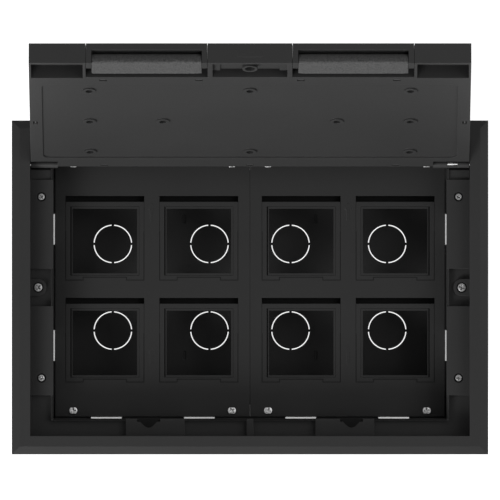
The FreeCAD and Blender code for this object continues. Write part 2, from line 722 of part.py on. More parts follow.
def plate_screws():
    """Eight screws whose round heads have two flats."""
    screws = []
    for x in PLATE_SCREW_X:
        for row in SIDES.values():
            y = f"{row} * plate_screw_y"
            head_z = ("plate_top", "plate_top + plate_screw_rise")
            flat = box((f"{x} - plate_screw_head", f"{x} + plate_screw_head"),
                       (f"{y} - plate_screw_flat / 2", f"{y} + plate_screw_flat / 2"), head_z)
            round_head = rod("z", (x, y), head_z, "plate_screw_head")
            head = doc.addObject("Part::MultiCommon", "Head")
            head.Shapes = [round_head, flat]
            screws.append(fuse(head, rod("z", (x, y), ("rail_under - plate_screw_tail", "plate_top + bite"),
                                         "plate_screw_radius")))
    node("plate_screws", group(*screws))


def module_pair(number, x, y, open_side):
    """A module frame with a notch for the plate's tab, and the insert that stands in it."""
    half = "module_size / 2"
    rear = f"{y} + module_size + module_clear"
    front = f"{y} + module_clear"
    ring = box((f"{x} - {half}", f"{x} + {half}"), (front, rear), ("module_under", "plate_top"))
    middle = f"({front} + {half})"
    inner, opening = "module_inner / 2", "module_opening / 2"
    well = box((f"{x} - {inner}", f"{x} + {inner}"), (f"{middle} - {inner}", f"{middle} + {inner}"),
               ("module_under + module_lip", "plate_top + past"))
    lip = "(module_opening / 2 + insert_shift)"
    through = box((f"{x} - {lip}", f"{x} + {lip}"), (f"{middle} - {lip}", f"{middle} + {lip}"),
                  ("module_under - past", "plate_top"))
    keyway = box((f"{x} - plate_tab_length / 2 - insert_shift", f"{x} + plate_tab_length / 2 + insert_shift"),
                 (f"{front} - past", f"{y} + plate_tab_width + insert_gap"), ("module_under - past", "plate_top + past"))
    node(f"module_frame_{number}", cut(ring, well, through, keyway))
    gaps = ("insert_side_gap", "insert_gap")
    gap_low, gap_high = gaps if open_side < 0 else reversed(gaps)
    insert_z = ("module_under + module_lip", "plate_top - insert_gap")
    block = box((f"{x} - {inner} + {gap_low}", f"{x} + {inner} - {gap_high}"),
                (f"{middle} - {inner} + insert_gap", f"{middle} + {inner} - insert_gap"), insert_z)
    hole = box((f"{x} - {opening}", f"{x} + {opening}"), (f"{middle} - {opening}", f"{middle} + {opening}"),
               ("module_under", "plate_top + past"))
    node(f"module_insert_{number}", cut(block, hole))


def modules():
    number = 0
    for y in WINDOW_ROWS:
        for side in SIDES:
            for x in WINDOW_X[side]:
                number += 1
                module_pair(number, x, y, 1 if x == "window_x_far" else -1)


# ---- frame screws and floor clamps -----------------------------------------------------------------------

def frame_screws():
    """Four screws that hold the tub's ears under the side ledges."""
    screws = []
    seat = "frame_screw_seat"
    for sign in SIDES.values():
        for row in SIDES.values():
            centre = (f"{sign} * frame_screw_x", f"{row} * frame_screw_y")
            screws.append(fuse(rod("z", centre, (seat, f"{seat} + screw_head_height"), "frame_screw_head"),
                               rod("z", centre, (f"{seat} - frame_screw_length", f"{seat} + bite"),
                                   "frame_screw_radius")))
    node("frame_screws", group(*screws))


def clamp_screw(side):
    """A long screw in the side ledge; turning it swings the claw out and then draws it up."""
    sign = SIDES[side]
    centre = (f"{sign} * clamp_x", "0")
    seat = "pocket_floor + clamp_boss_rise - screw_head_height"
    head = rod("z", centre, (seat, f"{seat} + screw_head_height"), "clamp_head")
    shank = rod("z", centre, (f"{seat} - clamp_screw_length", f"{seat} + bite"), "clamp_radius")
    node(f"clamp_screw_{side}", fuse(head, shank))


def clamp_claw(side):
    """A claw on the clamp screw: hub, arm folded along the tub's wall, and a gripping lip at its end."""
    sign = SIDES[side]
    x, top = f"{sign} * clamp_x", "claw_level + claw_height"
    hub = rod("z", (x, "0"), ("claw_level", top), "claw_hub")
    half = "claw_arm_width / 2"
    arm = box((f"{x} - {half}", f"{x} + {half}"), ("0", "claw_arm"), (f"{top} - claw_plate", top))
    lip = box((f"{x} - {half}", f"{x} + {half}"), ("claw_arm - claw_plate / 2", "claw_arm"),
              (f"{top} - claw_plate", f"{top} + claw_plate / 2"))
    gusset = box((f"{x} - claw_plate / 2", f"{x} + claw_plate / 2"), ("0", "claw_arm * 0.6"),
                 (f"{top} - claw_plate - claw_height / 3", f"{top} - claw_plate / 2"))
    bore = rod("z", (x, "0"), ("claw_level - past", f"{top} + past"), "clamp_bore")
    node(f"clamp_claw_{side}", cut(fuse(hub, arm, lip, gusset), bore))


# ---- lid -------------------------------------------------------------------------------------------------

def from_edge(distance):
    """The place along Y of a distance from the lid's free edge, with the lid closed."""
    return f"(lid_front + {distance})"


COVER_TABS = [(x, "cover_tab_front") for x in ("-cover_tab_x_far", "-cover_tab_x_near", "cover_tab_x_near",
                                               "cover_tab_x_far")]
COVER_TABS += [(x, "cover_tab_rear") for x in ("-cover_tab_x_far", "0", "cover_tab_x_far")]
RINGS = [(f"{sign} * ring_x_far", place_along) for sign in SIDES.values()
         for place_along in ("ring_first", "ring_middle", "ring_last")]
RINGS += [("-ring_x_mid", "ring_middle"), ("ring_x_mid", "ring_middle")]
RINGS += [("0", "ring_first"), ("0", "ring_last")]


def tab_pair(half_long, half_short, height):
    """Blocks at each tab of the cover plate, half_long along its edge and half_short across it."""
    blocks = []
    for x, distance in COVER_TABS:
        y = from_edge(distance)
        blocks.append(box((f"{x} - {half_long}", f"{x} + {half_long}"),
                          (f"{y} - {half_short}", f"{y} + {half_short}"), height))
    for sign in SIDES.values():
        x, y = f"{sign} * cover_tab_side", from_edge("cover_tab_side_place")
        blocks.append(box((f"{x} - {half_short}", f"{x} + {half_short}"),
                          (f"{y} - {half_long}", f"{y} + {half_long}"), height))
    return blocks


def lid_barrel(sign, length):
    """A hinge barrel along an end of the lid's slanted rear face."""
    return rod("x", ("hinge_y", "hinge_z"), both(sign, f"lid_x - ({length})", "lid_x"), "barrel_radius")


def lid_core():
    """The lid's block, with a rear face that slants back from the hinge to the top edge."""
    owner = body("Core")
    profile = [("lid_front", "lid_under"), ("hinge_y - lid_undercut", "lid_under"),
               ("lid_rear", "total_height"), ("lid_front", "total_height")]
    pad(owner, outline(owner, "YZ_Plane", profile), "2 * lid_x")
    return place(owner, x="-lid_x")


def barrel_recess(sign, length):
    """A wedge out of the underside over a hinge barrel, so that its upper side stands free."""
    owner = body("Recess")
    lean = "tan((open_angle - 90) * 1 deg)"
    depth = "(hinge_z - lid_under + barrel_radius)"
    near = "hinge_y - barrel_recess_start"
    profile = [(near, f"lid_under + {depth} + past"), (f"hinge_y - {depth} / {lean}", "lid_under - past"),
               (near, "lid_under - past")]
    low, high = both(sign, f"lid_x - ({length})", "lid_x + past")
    pad(owner, outline(owner, "YZ_Plane", profile), f"({high}) - ({low})")
    return place(owner, x=low)


def lid_body():
    core = cut(lid_core(), barrel_recess(-1, "left_barrel"), barrel_recess(1, "right_barrel"))
    inside = "lid_x - tray_rim"
    through = ("lid_under - past", "total_height + past")
    hollows = [box((f"-({inside})", inside), (f"{from_edge('flap_end')} + tray_rim", "tray_rear"),
                   ("lid_core_top", "total_height + past"))]
    hollows.append(box(("-latch_pocket_x", "latch_pocket_x"),
                       (from_edge("edge_wall"), from_edge("latch_pocket_end")),
                       ("lid_under - past", "latch_ceiling")))
    for sign in SIDES.values():
        hollows.append(box(both(sign, "end_pocket_near", "end_pocket_far"),
                           (from_edge("edge_wall"), from_edge("pocket_end")),
                           ("lid_under - past", "latch_ceiling")))
        hollows.append(box(both(sign, "flap_near", "flap_far"), ("lid_front - past", from_edge("flap_end")),
                           through))
        hollows.append(rod("x", ("flap_axis_y", "flap_axis_z"),
                           both(sign, "flap_near - flap_pin_bite", "flap_far + flap_pin_bite"),
                           "flap_pin_bore"))
    slot_x = "latch_bolt_x + sliding_gap"
    hollows.append(box((f"-({slot_x})", slot_x), ("lid_front - past", f"{from_edge('edge_wall')} + past"),
                       ("latch_under - sliding_gap", "latch_under + latch_bolt_height + sliding_gap")))
    keyhole = "latch_tube_hole"
    hollows.append(box((f"-{keyhole}", keyhole),
                       (f"tube_y - latch_travel - {keyhole}", f"tube_y + {keyhole}"),
                       ("latch_ceiling - past", "total_height + past")))
    inset = rounded_block(("-inset_x", "inset_x"), (from_edge("inset_start"), from_edge("inset_end")),
                          ("lid_under - past", "lid_under + inset_depth"), "inset_radius")
    hollows.append(inset)
    hollows += tab_pair("cover_tab_slot / 2", "cover_slot_width / 2", through)
    block = cut(core, *hollows)
    rings = [rod("z", (x, from_edge(y)), ("lid_under", "lid_under + inset_depth + bite"), "ring_radius")
             for x, y in RINGS]
    lips = [box(both(sign, "latch_x - latch_lip", "latch_pocket_x + bite"),
                (from_edge("latch_front"), from_edge("latch_rear")),
                ("latch_under - sliding_gap - latch_lip_height", "latch_under - sliding_gap"))
            for sign in SIDES.values()]
    block = fuse(block, *rings, *lips, lid_barrel(-1, "left_barrel"), lid_barrel(1, "right_barrel"))
    ring_depth = ("lid_under - past", "lid_under + inset_depth + 2 * past")
    holes = [rod("z", (x, from_edge(y)), ring_depth, "ring_hole") for x, y in RINGS]
    axis = ("hinge_y", "hinge_z")
    holes.append(rod("x", axis, ("-(lid_x + past)", "-(lid_x - left_barrel + barrel_end)"), "pin_bore"))
    holes.append(rod("x", axis, ("lid_x - right_barrel + spring_seat", "barrel_window_far"), "pin_bore"))
    holes.append(rod("x", axis, ("barrel_window_far - past", "lid_x + past"), "pin_tip_bore"))
    holes.append(box(("barrel_window_near", "barrel_window_far"),
                     ("hinge_y - barrel_radius - past", "hinge_y + bite"),
                     ("hinge_z - pin_radius - bite", "hinge_z + barrel_radius")))
    on_lid("lid_body", cut(block, *holes))


def lid_cover_plate():
    """The steel plate in the lid's tray, held by tabs through slots in the moulding."""
    inside = "lid_x - tray_rim - cover_gap"
    sheet_z = ("lid_core_top", "lid_core_top + cover_sheet")
    sheet_part = box((f"-({inside})", inside),
                     (f"{from_edge('flap_end')} + tray_rim + cover_gap", "tray_rear - cover_gap"), sheet_z)
    tabs = tab_pair("cover_tab / 2", "cover_sheet / 2",
                    ("lid_under + cover_tab_margin", "lid_core_top + bite"))
    on_lid("lid_cover_plate", fuse(sheet_part, *tabs))


def hinge_pins():
    axis = ("hinge_y", "hinge_z")
    plain = rod("x", axis, ("-(open_x + pin_bite)", "-(lid_x - left_barrel + barrel_end)"), "pin_radius")
    on_lid("hinge_pin_left", group(plain))
    thick = rod("x", axis, ("pin_inner_end", "pin_shoulder"), "pin_radius")
    thin = rod("x", axis, ("pin_shoulder - bite", "open_x + pin_bite"), "pin_tip_radius")
    on_lid("hinge_release_pin", fuse(thick, thin))


def release_spring():
    """The coils of the spring in the barrel behind the release pin."""
    start, end = "(lid_x - right_barrel + spring_seat)", "pin_inner_end"
    coils = []
    for turn in range(SPRING_TURNS):
        coil = doc.addObject("Part::Torus", "Coil")
        bind(coil, Radius1="pin_radius - spring_wire", Radius2="spring_wire")
        coil.Placement.Rotation = FreeCAD.Rotation(FreeCAD.Vector(0, 1, 0), 90)
        step = f"({end} - {start} - 2 * spring_wire) * {turn} / {SPRING_TURNS - 1}"
        coils.append(place(coil, f"{start} + spring_wire + {step}", "hinge_y", "hinge_z"))
    on_lid("release_spring", group(*coils))


def latch_slider():
    """The lid's catch: a slab with a bolt through the front wall and a tube for the finger or key."""
    slab = box(("-latch_x", "latch_x"), (from_edge("latch_front + latch_travel"), from_edge("latch_rear")),
               ("latch_under", "latch_top"))
    bolt = box(("-latch_bolt_x", "latch_bolt_x"),
               ("lid_front + latch_bolt_inset", from_edge("latch_front + latch_travel + bite")),
               ("latch_under", "latch_under + latch_bolt_height"))
    tube = rod("z", ("0", "tube_y"), ("lid_under + latch_tube_inset", "latch_under + bite"),
               "latch_tube_radius")
    hole = rod("z", ("0", "tube_y"), ("lid_under - past", "latch_top + past"), "latch_tube_hole")
    on_lid("latch_slider", cut(fuse(slab, bolt, tube), hole))


def cable_flap(side):
    """A flap over a cable outlet in the lid's free edge: a bar between two cheeks, hung on two pins."""
    sign = SIDES[side]
    gap = "sliding_gap"
    near, far = f"flap_near + {gap}", f"flap_far - {gap}"
    bar = box(both(sign, near, far), ("lid_front", "flap_axis_y"),
              ("total_height - flap_bar", "total_height"))
    relief = box(both(sign, "flap_near - past", "flap_far + past"),
                 ("flap_axis_y - flap_knuckle", "flap_axis_y + flap_knuckle"),
                 ("total_height - flap_bar - past", "flap_axis_z"))
    knuckle = rod("x", ("flap_axis_y", "flap_axis_z"), both(sign, near, far), "flap_knuckle")
    cheeks = [box(both(sign, low, high), ("lid_front", from_edge("flap_cheek_length")),
                  ("lid_under", "total_height - bite"))
              for low, high in ((near, f"{near} + flap_cheek"), (f"{far} - flap_cheek", far))]
    pin_holes = [rod("x", ("flap_axis_y", "flap_axis_z"), both(sign, low, high), "flap_pin_bore")
                 for low, high in (("flap_near", "flap_near - flap_pin_bite + flap_pin_length"),
                                   ("flap_far + flap_pin_bite - flap_pin_length", "flap_far"))]
    on_lid(f"cable_flap_{side}", cut(fuse(cut(bar, relief), knuckle, *cheeks), *pin_holes))


def foam_pad(side):
    """The foam that closes on the cables under a flap."""
    sign = SIDES[side]
    edge = "sliding_gap + flap_cheek + foam_gap"
    block = box(both(sign, f"flap_near + {edge}", f"flap_far - ({edge})"), ("lid_front", "foam_rear"),
                ("lid_under", "total_height - flap_bar - foam_gap"))
    on_lid(f"foam_pad_{side}", group(block))


def flap_pins():
    pins = []
    for sign in SIDES.values():
        for low, high in (("flap_near - flap_pin_bite", "flap_near - flap_pin_bite + flap_pin_length"),
                          ("flap_far + flap_pin_bite - flap_pin_length", "flap_far + flap_pin_bite")):
            pins.append(rod("x", ("flap_axis_y", "flap_axis_z"), both(sign, low, high), "flap_pin_radius"))
    on_lid("flap_pins", group(*pins))


# ---- build, check and write ------------------------------------------------------------------------------

trim_frame()
base_tub()
end_rail("support_rail_front", -1, "pad_top - tab_below_pad")
end_rail("support_rail_rear", 1, "plate_top + rear_tab_rise")
side_rail("support_rail_left", -1)
side_rail("support_rail_right", 1)
rail_screws()
for side in SIDES:
    device_plate(side)
plate_screws()
modules()
frame_screws()
for side in SIDES:
    clamp_screw(side)
    clamp_claw(side)
lid_body()
lid_cover_plate()
hinge_pins()
release_spring()
latch_slider()
for side in SIDES:
    cable_flap(side)
    foam_pad(side)
flap_pins()

doc.recompute()
for thing in doc.Objects:
    if "Invalid" in thing.State or "Error" in thing.State:
        raise RuntimeError(f"{thing.Name} ({thing.Label}) failed: {thing.State}")
os.makedirs("parts", exist_ok=True)
for thing in NODES:
    if thing.Shape.isNull() or not thing.Shape.isValid() or not thing.Shape.Solids:
        raise RuntimeError(f"{thing.Label} has no valid solid")
for thing in NODES:
    thing.Shape.exportStep(f"parts/{thing.Label}.step")
    bounds = thing.Shape.BoundBox
    print(f"{thing.Label}: {len(thing.Shape.Solids)} solid(s), {bounds.XLength:.1f} x {bounds.YLength:.1f}"
          f" x {bounds.ZLength:.1f}, volume {thing.Shape.Volume:.0f}")
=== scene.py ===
# %% [markdown]
# The object is a floor socket box: a trim frame sunk in a floor, a deep tub of socket windows under it,
# and a lid that stands open behind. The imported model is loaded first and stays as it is, so every new
# surface is placed by asking the model where its parts are, and never by eye.

# %% Load the model and keep its box
import json
import math

import bmesh
import bpy
import numpy as np
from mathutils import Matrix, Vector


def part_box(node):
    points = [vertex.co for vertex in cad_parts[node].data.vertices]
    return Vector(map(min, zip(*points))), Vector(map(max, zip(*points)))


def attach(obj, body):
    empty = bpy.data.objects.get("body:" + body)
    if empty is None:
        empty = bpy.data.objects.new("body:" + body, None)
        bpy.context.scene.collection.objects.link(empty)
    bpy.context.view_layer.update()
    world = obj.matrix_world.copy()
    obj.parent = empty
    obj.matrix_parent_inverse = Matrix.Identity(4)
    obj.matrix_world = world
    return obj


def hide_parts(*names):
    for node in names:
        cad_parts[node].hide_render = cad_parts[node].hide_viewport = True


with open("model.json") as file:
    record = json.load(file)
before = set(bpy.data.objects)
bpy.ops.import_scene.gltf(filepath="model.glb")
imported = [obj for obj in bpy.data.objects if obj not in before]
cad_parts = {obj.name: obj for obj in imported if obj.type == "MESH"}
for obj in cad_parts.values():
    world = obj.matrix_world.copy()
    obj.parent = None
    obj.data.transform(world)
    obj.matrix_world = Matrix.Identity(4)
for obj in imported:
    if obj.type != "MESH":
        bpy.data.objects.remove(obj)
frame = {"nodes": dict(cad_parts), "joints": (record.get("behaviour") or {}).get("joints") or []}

for leftover in ("Cube", "Light", "Camera"):
    if leftover in bpy.data.objects:
        bpy.data.objects.remove(bpy.data.objects[leftover])
nodes = frame["nodes"]
joints = {joint["name"]: joint for joint in frame["joints"]}
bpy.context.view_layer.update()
MM = 0.001

# %% [markdown]
# The lid is moulded flat but stands open, leaning back past upright, so its details are easier to place
# in the lid's own directions: along X, up the lid from the hinge, and out through its thickness. All come
# from the hinge joint, which says where the axis is and how far the lid opens past a right angle.

# %% The lid's own directions
hinge = joints["lid_hinge"]
hinge_point = np.array(hinge["pos_m"], float)
lean = math.radians(hinge["range_deg"][1] - 90.0)
up_lid = np.array([0.0, math.sin(lean), math.cos(lean)])
out_of_lid = np.array([0.0, math.cos(lean), -math.sin(lean)])
lid_axes = np.array([[1.0, 0.0, 0.0], up_lid, out_of_lid])


def to_lid(points):
    """World points as (x, up the lid, out of the lid) measured from the hinge axis."""
    return (np.asarray(points, float) - hinge_point) @ lid_axes.T


def from_lid(points):
    """The way back: (x, up, out) times the three directions, plus the hinge point."""
    return np.asarray(points, float) @ lid_axes + hinge_point


print("lid leans", round(math.degrees(lean), 2), "degrees past upright")

# %% [markdown]
# Several new surfaces follow the shape of a part, so the part's points are needed as one array. foreach_get
# copies them all in one call, where a loop over the vertices would be slow.

# %% The points of a part
def node_points(name):
    """All points of one part of the model, as rows of x, y and z."""
    vertices = nodes[name].data.vertices
    points = np.empty(len(vertices) * 3, np.float32)
    vertices.foreach_get("co", points)
    return points.reshape(-1, 3)


def lid_extent(name):
    """Lowest and highest x, up and out of a part, measured in the lid's own directions."""
    points = to_lid(node_points(name))
    return points.min(0), points.max(0)


print("lid body reaches", [round(float(v), 4) for v in lid_extent("lid_body")[1]])

# %% [markdown]
# Nearly everything here is the same family of moulded plastic, seen in soft light, so what makes it read
# as real is small: a fine spark-eroded grain, edges that are rounded and catch a thin line of light, corners
# painted paler, partly as rubbed wear and partly as a painted highlight, and a tone that drifts a little over
# a large moulding. Several materials share each of these, so each is a shader node group with its own
# sliders. Modelling the rounding would need thousands of faces, and the Bevel node gives the same thin
# highlight on flat faces instead.

# %% A small helper that adds and wires nodes
def add(tree, kind, wires=(), **settings):
    """One node of that kind, with its settings, and each wire joins an output or a value to its input."""
    made = tree.nodes.new(kind)
    for name, value in settings.items():
        setattr(made, name, value)
    for socket, source in dict(wires).items():
        if isinstance(source, bpy.types.NodeSocket):
            tree.links.new(source, made.inputs[socket])
        else:
            made.inputs[socket].default_value = source
    return made


def new_group(name, inputs, outputs):
    """An empty shader group whose sockets are listed as (name, type, default)."""
    tree = bpy.data.node_groups.new(name, "ShaderNodeTree")
    for label, kind, default in inputs:
        socket = tree.interface.new_socket(name=label, in_out="INPUT", socket_type="NodeSocket" + kind)
        socket.default_value = default
    for label, kind in outputs:
        tree.interface.new_socket(name=label, in_out="OUTPUT", socket_type="NodeSocket" + kind)
    return tree, add(tree, "NodeGroupInput"), add(tree, "NodeGroupOutput")


print("helpers for node groups are ready")

# %% [markdown]
# A moulding's skin copies the steel of its mould: rounded edges, a spark-eroded grain, and a slow waviness
# where the plastic shrank. All three only turn the light, so they are stacked in one normal, from the
# Bevel node through two Bump nodes. The grain also goes out on its own, for the roughness to follow.

# %% Moulded skin
skin, given, result = new_group(
    "moulded_skin",
    [("Rounding", "Float", 0.4 * MM), ("Grain Size", "Float", 1500.0), ("Grain Depth", "Float", 0.3)],
    [("Normal", "Vector"), ("Grain", "Float")])
place = add(skin, "ShaderNodeTexCoord")
rounded = add(skin, "ShaderNodeBevel", {"Radius": given.outputs["Rounding"]}, samples=4)
grain = add(skin, "ShaderNodeTexNoise", {
    "Vector": place.outputs["Object"], "Scale": given.outputs["Grain Size"], "Detail": 2.0, "Roughness": 0.6})
waves = add(skin, "ShaderNodeTexNoise", {"Vector": place.outputs["Object"], "Scale": 22.0, "Detail": 1.0})
wavy = add(skin, "ShaderNodeBump", {
    "Height": waves.outputs["Fac"], "Normal": rounded.outputs["Normal"],
    "Strength": 0.25, "Distance": 1.2 * MM})
grainy = add(skin, "ShaderNodeBump", {
    "Height": grain.outputs["Fac"], "Normal": wavy.outputs["Normal"],
    "Strength": given.outputs["Grain Depth"], "Distance": 0.12 * MM})
skin.links.new(grainy.outputs["Normal"], result.inputs["Normal"])
skin.links.new(grain.outputs["Fac"], result.inputs["Grain"])
print("group", skin.name)

# %% [markdown]
# The outer edges are painted paler: partly the rubbing of feet, tools and plugs, and partly a painted
# highlight along every edge. Where the rounded normal of a Bevel node differs from the face's true normal
# there must be an edge, so their dot product gives a mask for it without painting one. A patchy noise breaks
# the mask up, because wear is never even.

# %% Edge wear and painted highlight
edge_wear_and_highlight_group, given, result = new_group(
    "edge_wear_and_painted_highlight",
    [("Width", "Float", 0.6 * MM), ("Patchiness", "Float", 90.0)],
    [("Mask", "Float")])
place = add(edge_wear_and_highlight_group, "ShaderNodeTexCoord")
surface = add(edge_wear_and_highlight_group, "ShaderNodeNewGeometry")
turned = add(edge_wear_and_highlight_group, "ShaderNodeBevel", {"Radius": given.outputs["Width"]}, samples=4)
likeness = add(edge_wear_and_highlight_group, "ShaderNodeVectorMath", {0: turned.outputs["Normal"], 1: surface.outputs["True Normal"]},
               operation="DOT_PRODUCT")
# This mask makes edges paler: partly wear, partly a painted highlight along each edge.
edge = add(edge_wear_and_highlight_group, "ShaderNodeMapRange", {
    "Value": likeness.outputs["Value"], "From Min": 0.98, "From Max": 0.72, "To Min": 0.0, "To Max": 1.0})
patches = add(edge_wear_and_highlight_group, "ShaderNodeTexNoise", {
    "Vector": place.outputs["Object"], "Scale": given.outputs["Patchiness"], "Detail": 3.0})
broken = add(edge_wear_and_highlight_group, "ShaderNodeMapRange", {
    "Value": patches.outputs["Fac"], "From Min": 0.35, "From Max": 0.65, "To Min": 0.35, "To Max": 1.0})
mask = add(edge_wear_and_highlight_group, "ShaderNodeMath", {0: edge.outputs["Result"], 1: broken.outputs["Result"]},
           operation="MULTIPLY")
edge_wear_and_highlight_group.links.new(mask.outputs["Value"], result.inputs["Mask"])
print("group", edge_wear_and_highlight_group.name)

# %% [markdown]
# The colour of a large moulding drifts a little where the plastic flowed and cooled. A soft noise scales
# the base colour up and down, after the paler edges, partly wear and partly a painted highlight, have been
# mixed in.

# %% Tone drift
drift, given, result = new_group(
    "tone_drift",
    [("Colour", "Color", (0.05, 0.05, 0.05, 1.0)), ("Edge Colour", "Color", (0.1, 0.1, 0.1, 1.0)),
     ("Edge Mask", "Float", 0.0), ("Amount", "Float", 0.1)],
    [("Colour", "Color")])
place = add(drift, "ShaderNodeTexCoord")
clouds = add(drift, "ShaderNodeTexNoise", {"Vector": place.outputs["Object"], "Scale": 14.0, "Detail": 4.0})
centred = add(drift, "ShaderNodeMath", {0: clouds.outputs["Fac"], 1: 0.5}, operation="SUBTRACT")
factor = add(drift, "ShaderNodeMath", {0: centred.outputs["Value"], 1: given.outputs["Amount"], 2: 1.0},
             operation="MULTIPLY_ADD")
worn = add(drift, "ShaderNodeMixRGB", {
    "Fac": given.outputs["Edge Mask"], "Color1": given.outputs["Colour"],
    "Color2": given.outputs["Edge Colour"]})
toned = add(drift, "ShaderNodeVectorMath", {0: worn.outputs["Color"], "Scale": factor.outputs["Value"]},
            operation="SCALE")
drift.links.new(toned.outputs["Vector"], result.inputs["Colour"])
print("group", drift.name)

# %% [markdown]
# Plastics first. The frame, the tub, the plates, the windows and the lid are separate mouldings that came
# out of separate tools, so each is its own grey and its own grain. One function builds them all, and the
# shader itself stays in the material, where its fixed numbers sit on its own sockets.

# %% A function for moulded plastics
def grey(level):
    """A grey as red, green, blue and alpha."""
    return (level, level, level, 1.0)


def use_group(tree, group, **values):
    """The shared group as a node, with its sliders set from keywords whose underscores stand for spaces."""
    made = tree.nodes.new("ShaderNodeGroup")
    made.node_tree = group
    for name, value in values.items():
        socket = made.inputs[name.replace("_", " ")]
        if isinstance(value, bpy.types.NodeSocket):
            tree.links.new(value, socket)
        else:
            socket.default_value = value
    return made


def new_material(name):
    """A material with only a Principled shader and its output."""
    made = bpy.data.materials.new(name)
    made.use_nodes = True
    tree = made.node_tree
    return made, tree, tree.nodes["Principled BSDF"]


def moulded(name, level, edge_level, gloss, grain_size=1500.0, rounding=0.4):
    """Moulded plastic: drifting tone with edges painted paler, as wear and as a painted highlight, and
    roughness that follows its grain.
    """
    made, tree, shader = new_material(name)
    body = use_group(tree, skin, Rounding=rounding * MM, Grain_Size=grain_size, Grain_Depth=0.3)
    # The paler edges are partly wear and partly a painted highlight.
    edge_wear_and_highlight = use_group(tree, edge_wear_and_highlight_group, Width=rounding * 1.4 * MM)
    tone = use_group(tree, drift, Colour=grey(level), Edge_Colour=grey(edge_level),
                     Edge_Mask=edge_wear_and_highlight.outputs["Mask"], Amount=0.22)
    rough = add(tree, "ShaderNodeMapRange", {
        "Value": body.outputs["Grain"], "From Min": 0.3, "From Max": 0.7,
        "To Min": gloss - 0.05, "To Max": gloss + 0.07})
    tree.links.new(tone.outputs["Colour"], shader.inputs["Base Color"])
    tree.links.new(rough.outputs["Result"], shader.inputs["Roughness"])
    tree.links.new(body.outputs["Normal"], shader.inputs["Normal"])
    shader.inputs["Specular IOR Level"].default_value = 0.15
    return made


frame_plastic = moulded("frame_moulding_finish", 0.013, 0.030, 0.50, rounding=0.5)
tub_plastic = moulded("tub_moulding_finish", 0.017, 0.030, 0.58, grain_size=1100.0)
plate_plastic = moulded("plate_moulding_finish", 0.011, 0.024, 0.52, rounding=0.35)
window_plastic = moulded("window_moulding_finish", 0.011, 0.026, 0.48, grain_size=2200.0, rounding=0.3)
lid_plastic = moulded("lid_moulding_finish", 0.025, 0.051, 0.50, rounding=0.45)
print("plastics", [m.name for m in bpy.data.materials if m.name.endswith("moulding_finish")])

# %% [markdown]
# The bright pieces are zinc-plated steel. Folded strip keeps the fine lines of rolling along its length,
# turned pins and screws have rings, and plating leaves a faint cloudiness in both. A stretched noise makes
# the rolling lines and sets both colour and roughness, which is why the metal doesn't look like a mirror.

# %% A function for plated steel
PLATED_ROUNDING = 0.2 * MM


def plated(name, level, gloss, stretch):
    """Plated steel: noise drawn out along one direction for its lines, and slow clouds for the plating."""
    made, tree, shader = new_material(name)
    place = add(tree, "ShaderNodeTexCoord")
    drawn = add(tree, "ShaderNodeMapping", {"Vector": place.outputs["Object"], "Scale": stretch})
    lines = add(tree, "ShaderNodeTexNoise", {"Vector": drawn.outputs["Vector"], "Scale": 1.0, "Detail": 3.0})
    tone = use_group(tree, drift, Colour=grey(level), Edge_Colour=grey(min(level * 1.2, 0.9)),
                     Edge_Mask=lines.outputs["Fac"], Amount=0.35)
    rough = add(tree, "ShaderNodeMapRange", {
        "Value": lines.outputs["Fac"], "From Min": 0.3, "From Max": 0.7,
        "To Min": gloss - 0.07, "To Max": gloss + 0.08})
    rounded = add(tree, "ShaderNodeBevel", {"Radius": PLATED_ROUNDING}, samples=4)
    raised = add(tree, "ShaderNodeBump", {
        "Height": lines.outputs["Fac"], "Normal": rounded.outputs["Normal"],
        "Strength": 0.2, "Distance": 0.05 * MM})
    tree.links.new(tone.outputs["Colour"], shader.inputs["Base Color"])
    tree.links.new(rough.outputs["Result"], shader.inputs["Roughness"])
    tree.links.new(raised.outputs["Normal"], shader.inputs["Normal"])
    shader.inputs["Metallic"].default_value = 1.0
    return made


strip_steel = plated("zinc_strip_finish", 0.40, 0.45, (60.0, 60.0, 900.0))
screw_steel = plated("zinc_screw_finish", 0.36, 0.40, (500.0, 500.0, 120.0))
pin_steel = plated("bright_pin_finish", 0.95, 0.36, (1500.0, 150.0, 150.0))
dull_screw_steel = plated("dull_screw_finish", 0.22, 0.42, (500.0, 500.0, 120.0))
print("steels", [m.name for m in bpy.data.materials if m.name.startswith(("zinc", "bright", "dull"))])

# %% [markdown]
# The plate on the lid's outer face is painted steel. One soft noise gives the fine orange peel of powder
# coat, and the roughness follows it.

# %% Painted steel
cover_paint, tree, shader = new_material("cover_paint_finish")
place = add(tree, "ShaderNodeTexCoord")
peel = add(tree, "ShaderNodeTexNoise", {"Vector": place.outputs["Object"], "Scale": 650.0, "Detail": 1.0})
# The paint's edges are painted paler, partly rubbed paint and partly a painted highlight.
edge_wear_and_highlight = use_group(tree, edge_wear_and_highlight_group, Width=0.5 * MM)
tone = use_group(tree, drift, Colour=grey(0.042), Edge_Colour=grey(0.09), Edge_Mask=edge_wear_and_highlight.outputs["Mask"],
                 Amount=0.15)
rounded = add(tree, "ShaderNodeBevel", {"Radius": 0.3 * MM}, samples=4)
raised = add(tree, "ShaderNodeBump", {
    "Height": peel.outputs["Fac"], "Normal": rounded.outputs["Normal"],
    "Strength": 0.35, "Distance": 0.1 * MM})
rough = add(tree, "ShaderNodeMapRange", {"Value": peel.outputs["Fac"], "To Min": 0.36, "To Max": 0.52})
tree.links.new(tone.outputs["Colour"], shader.inputs["Base Color"])
tree.links.new(rough.outputs["Result"], shader.inputs["Roughness"])
tree.links.new(raised.outputs["Normal"], shader.inputs["Normal"])
print("paint", cover_paint.name)
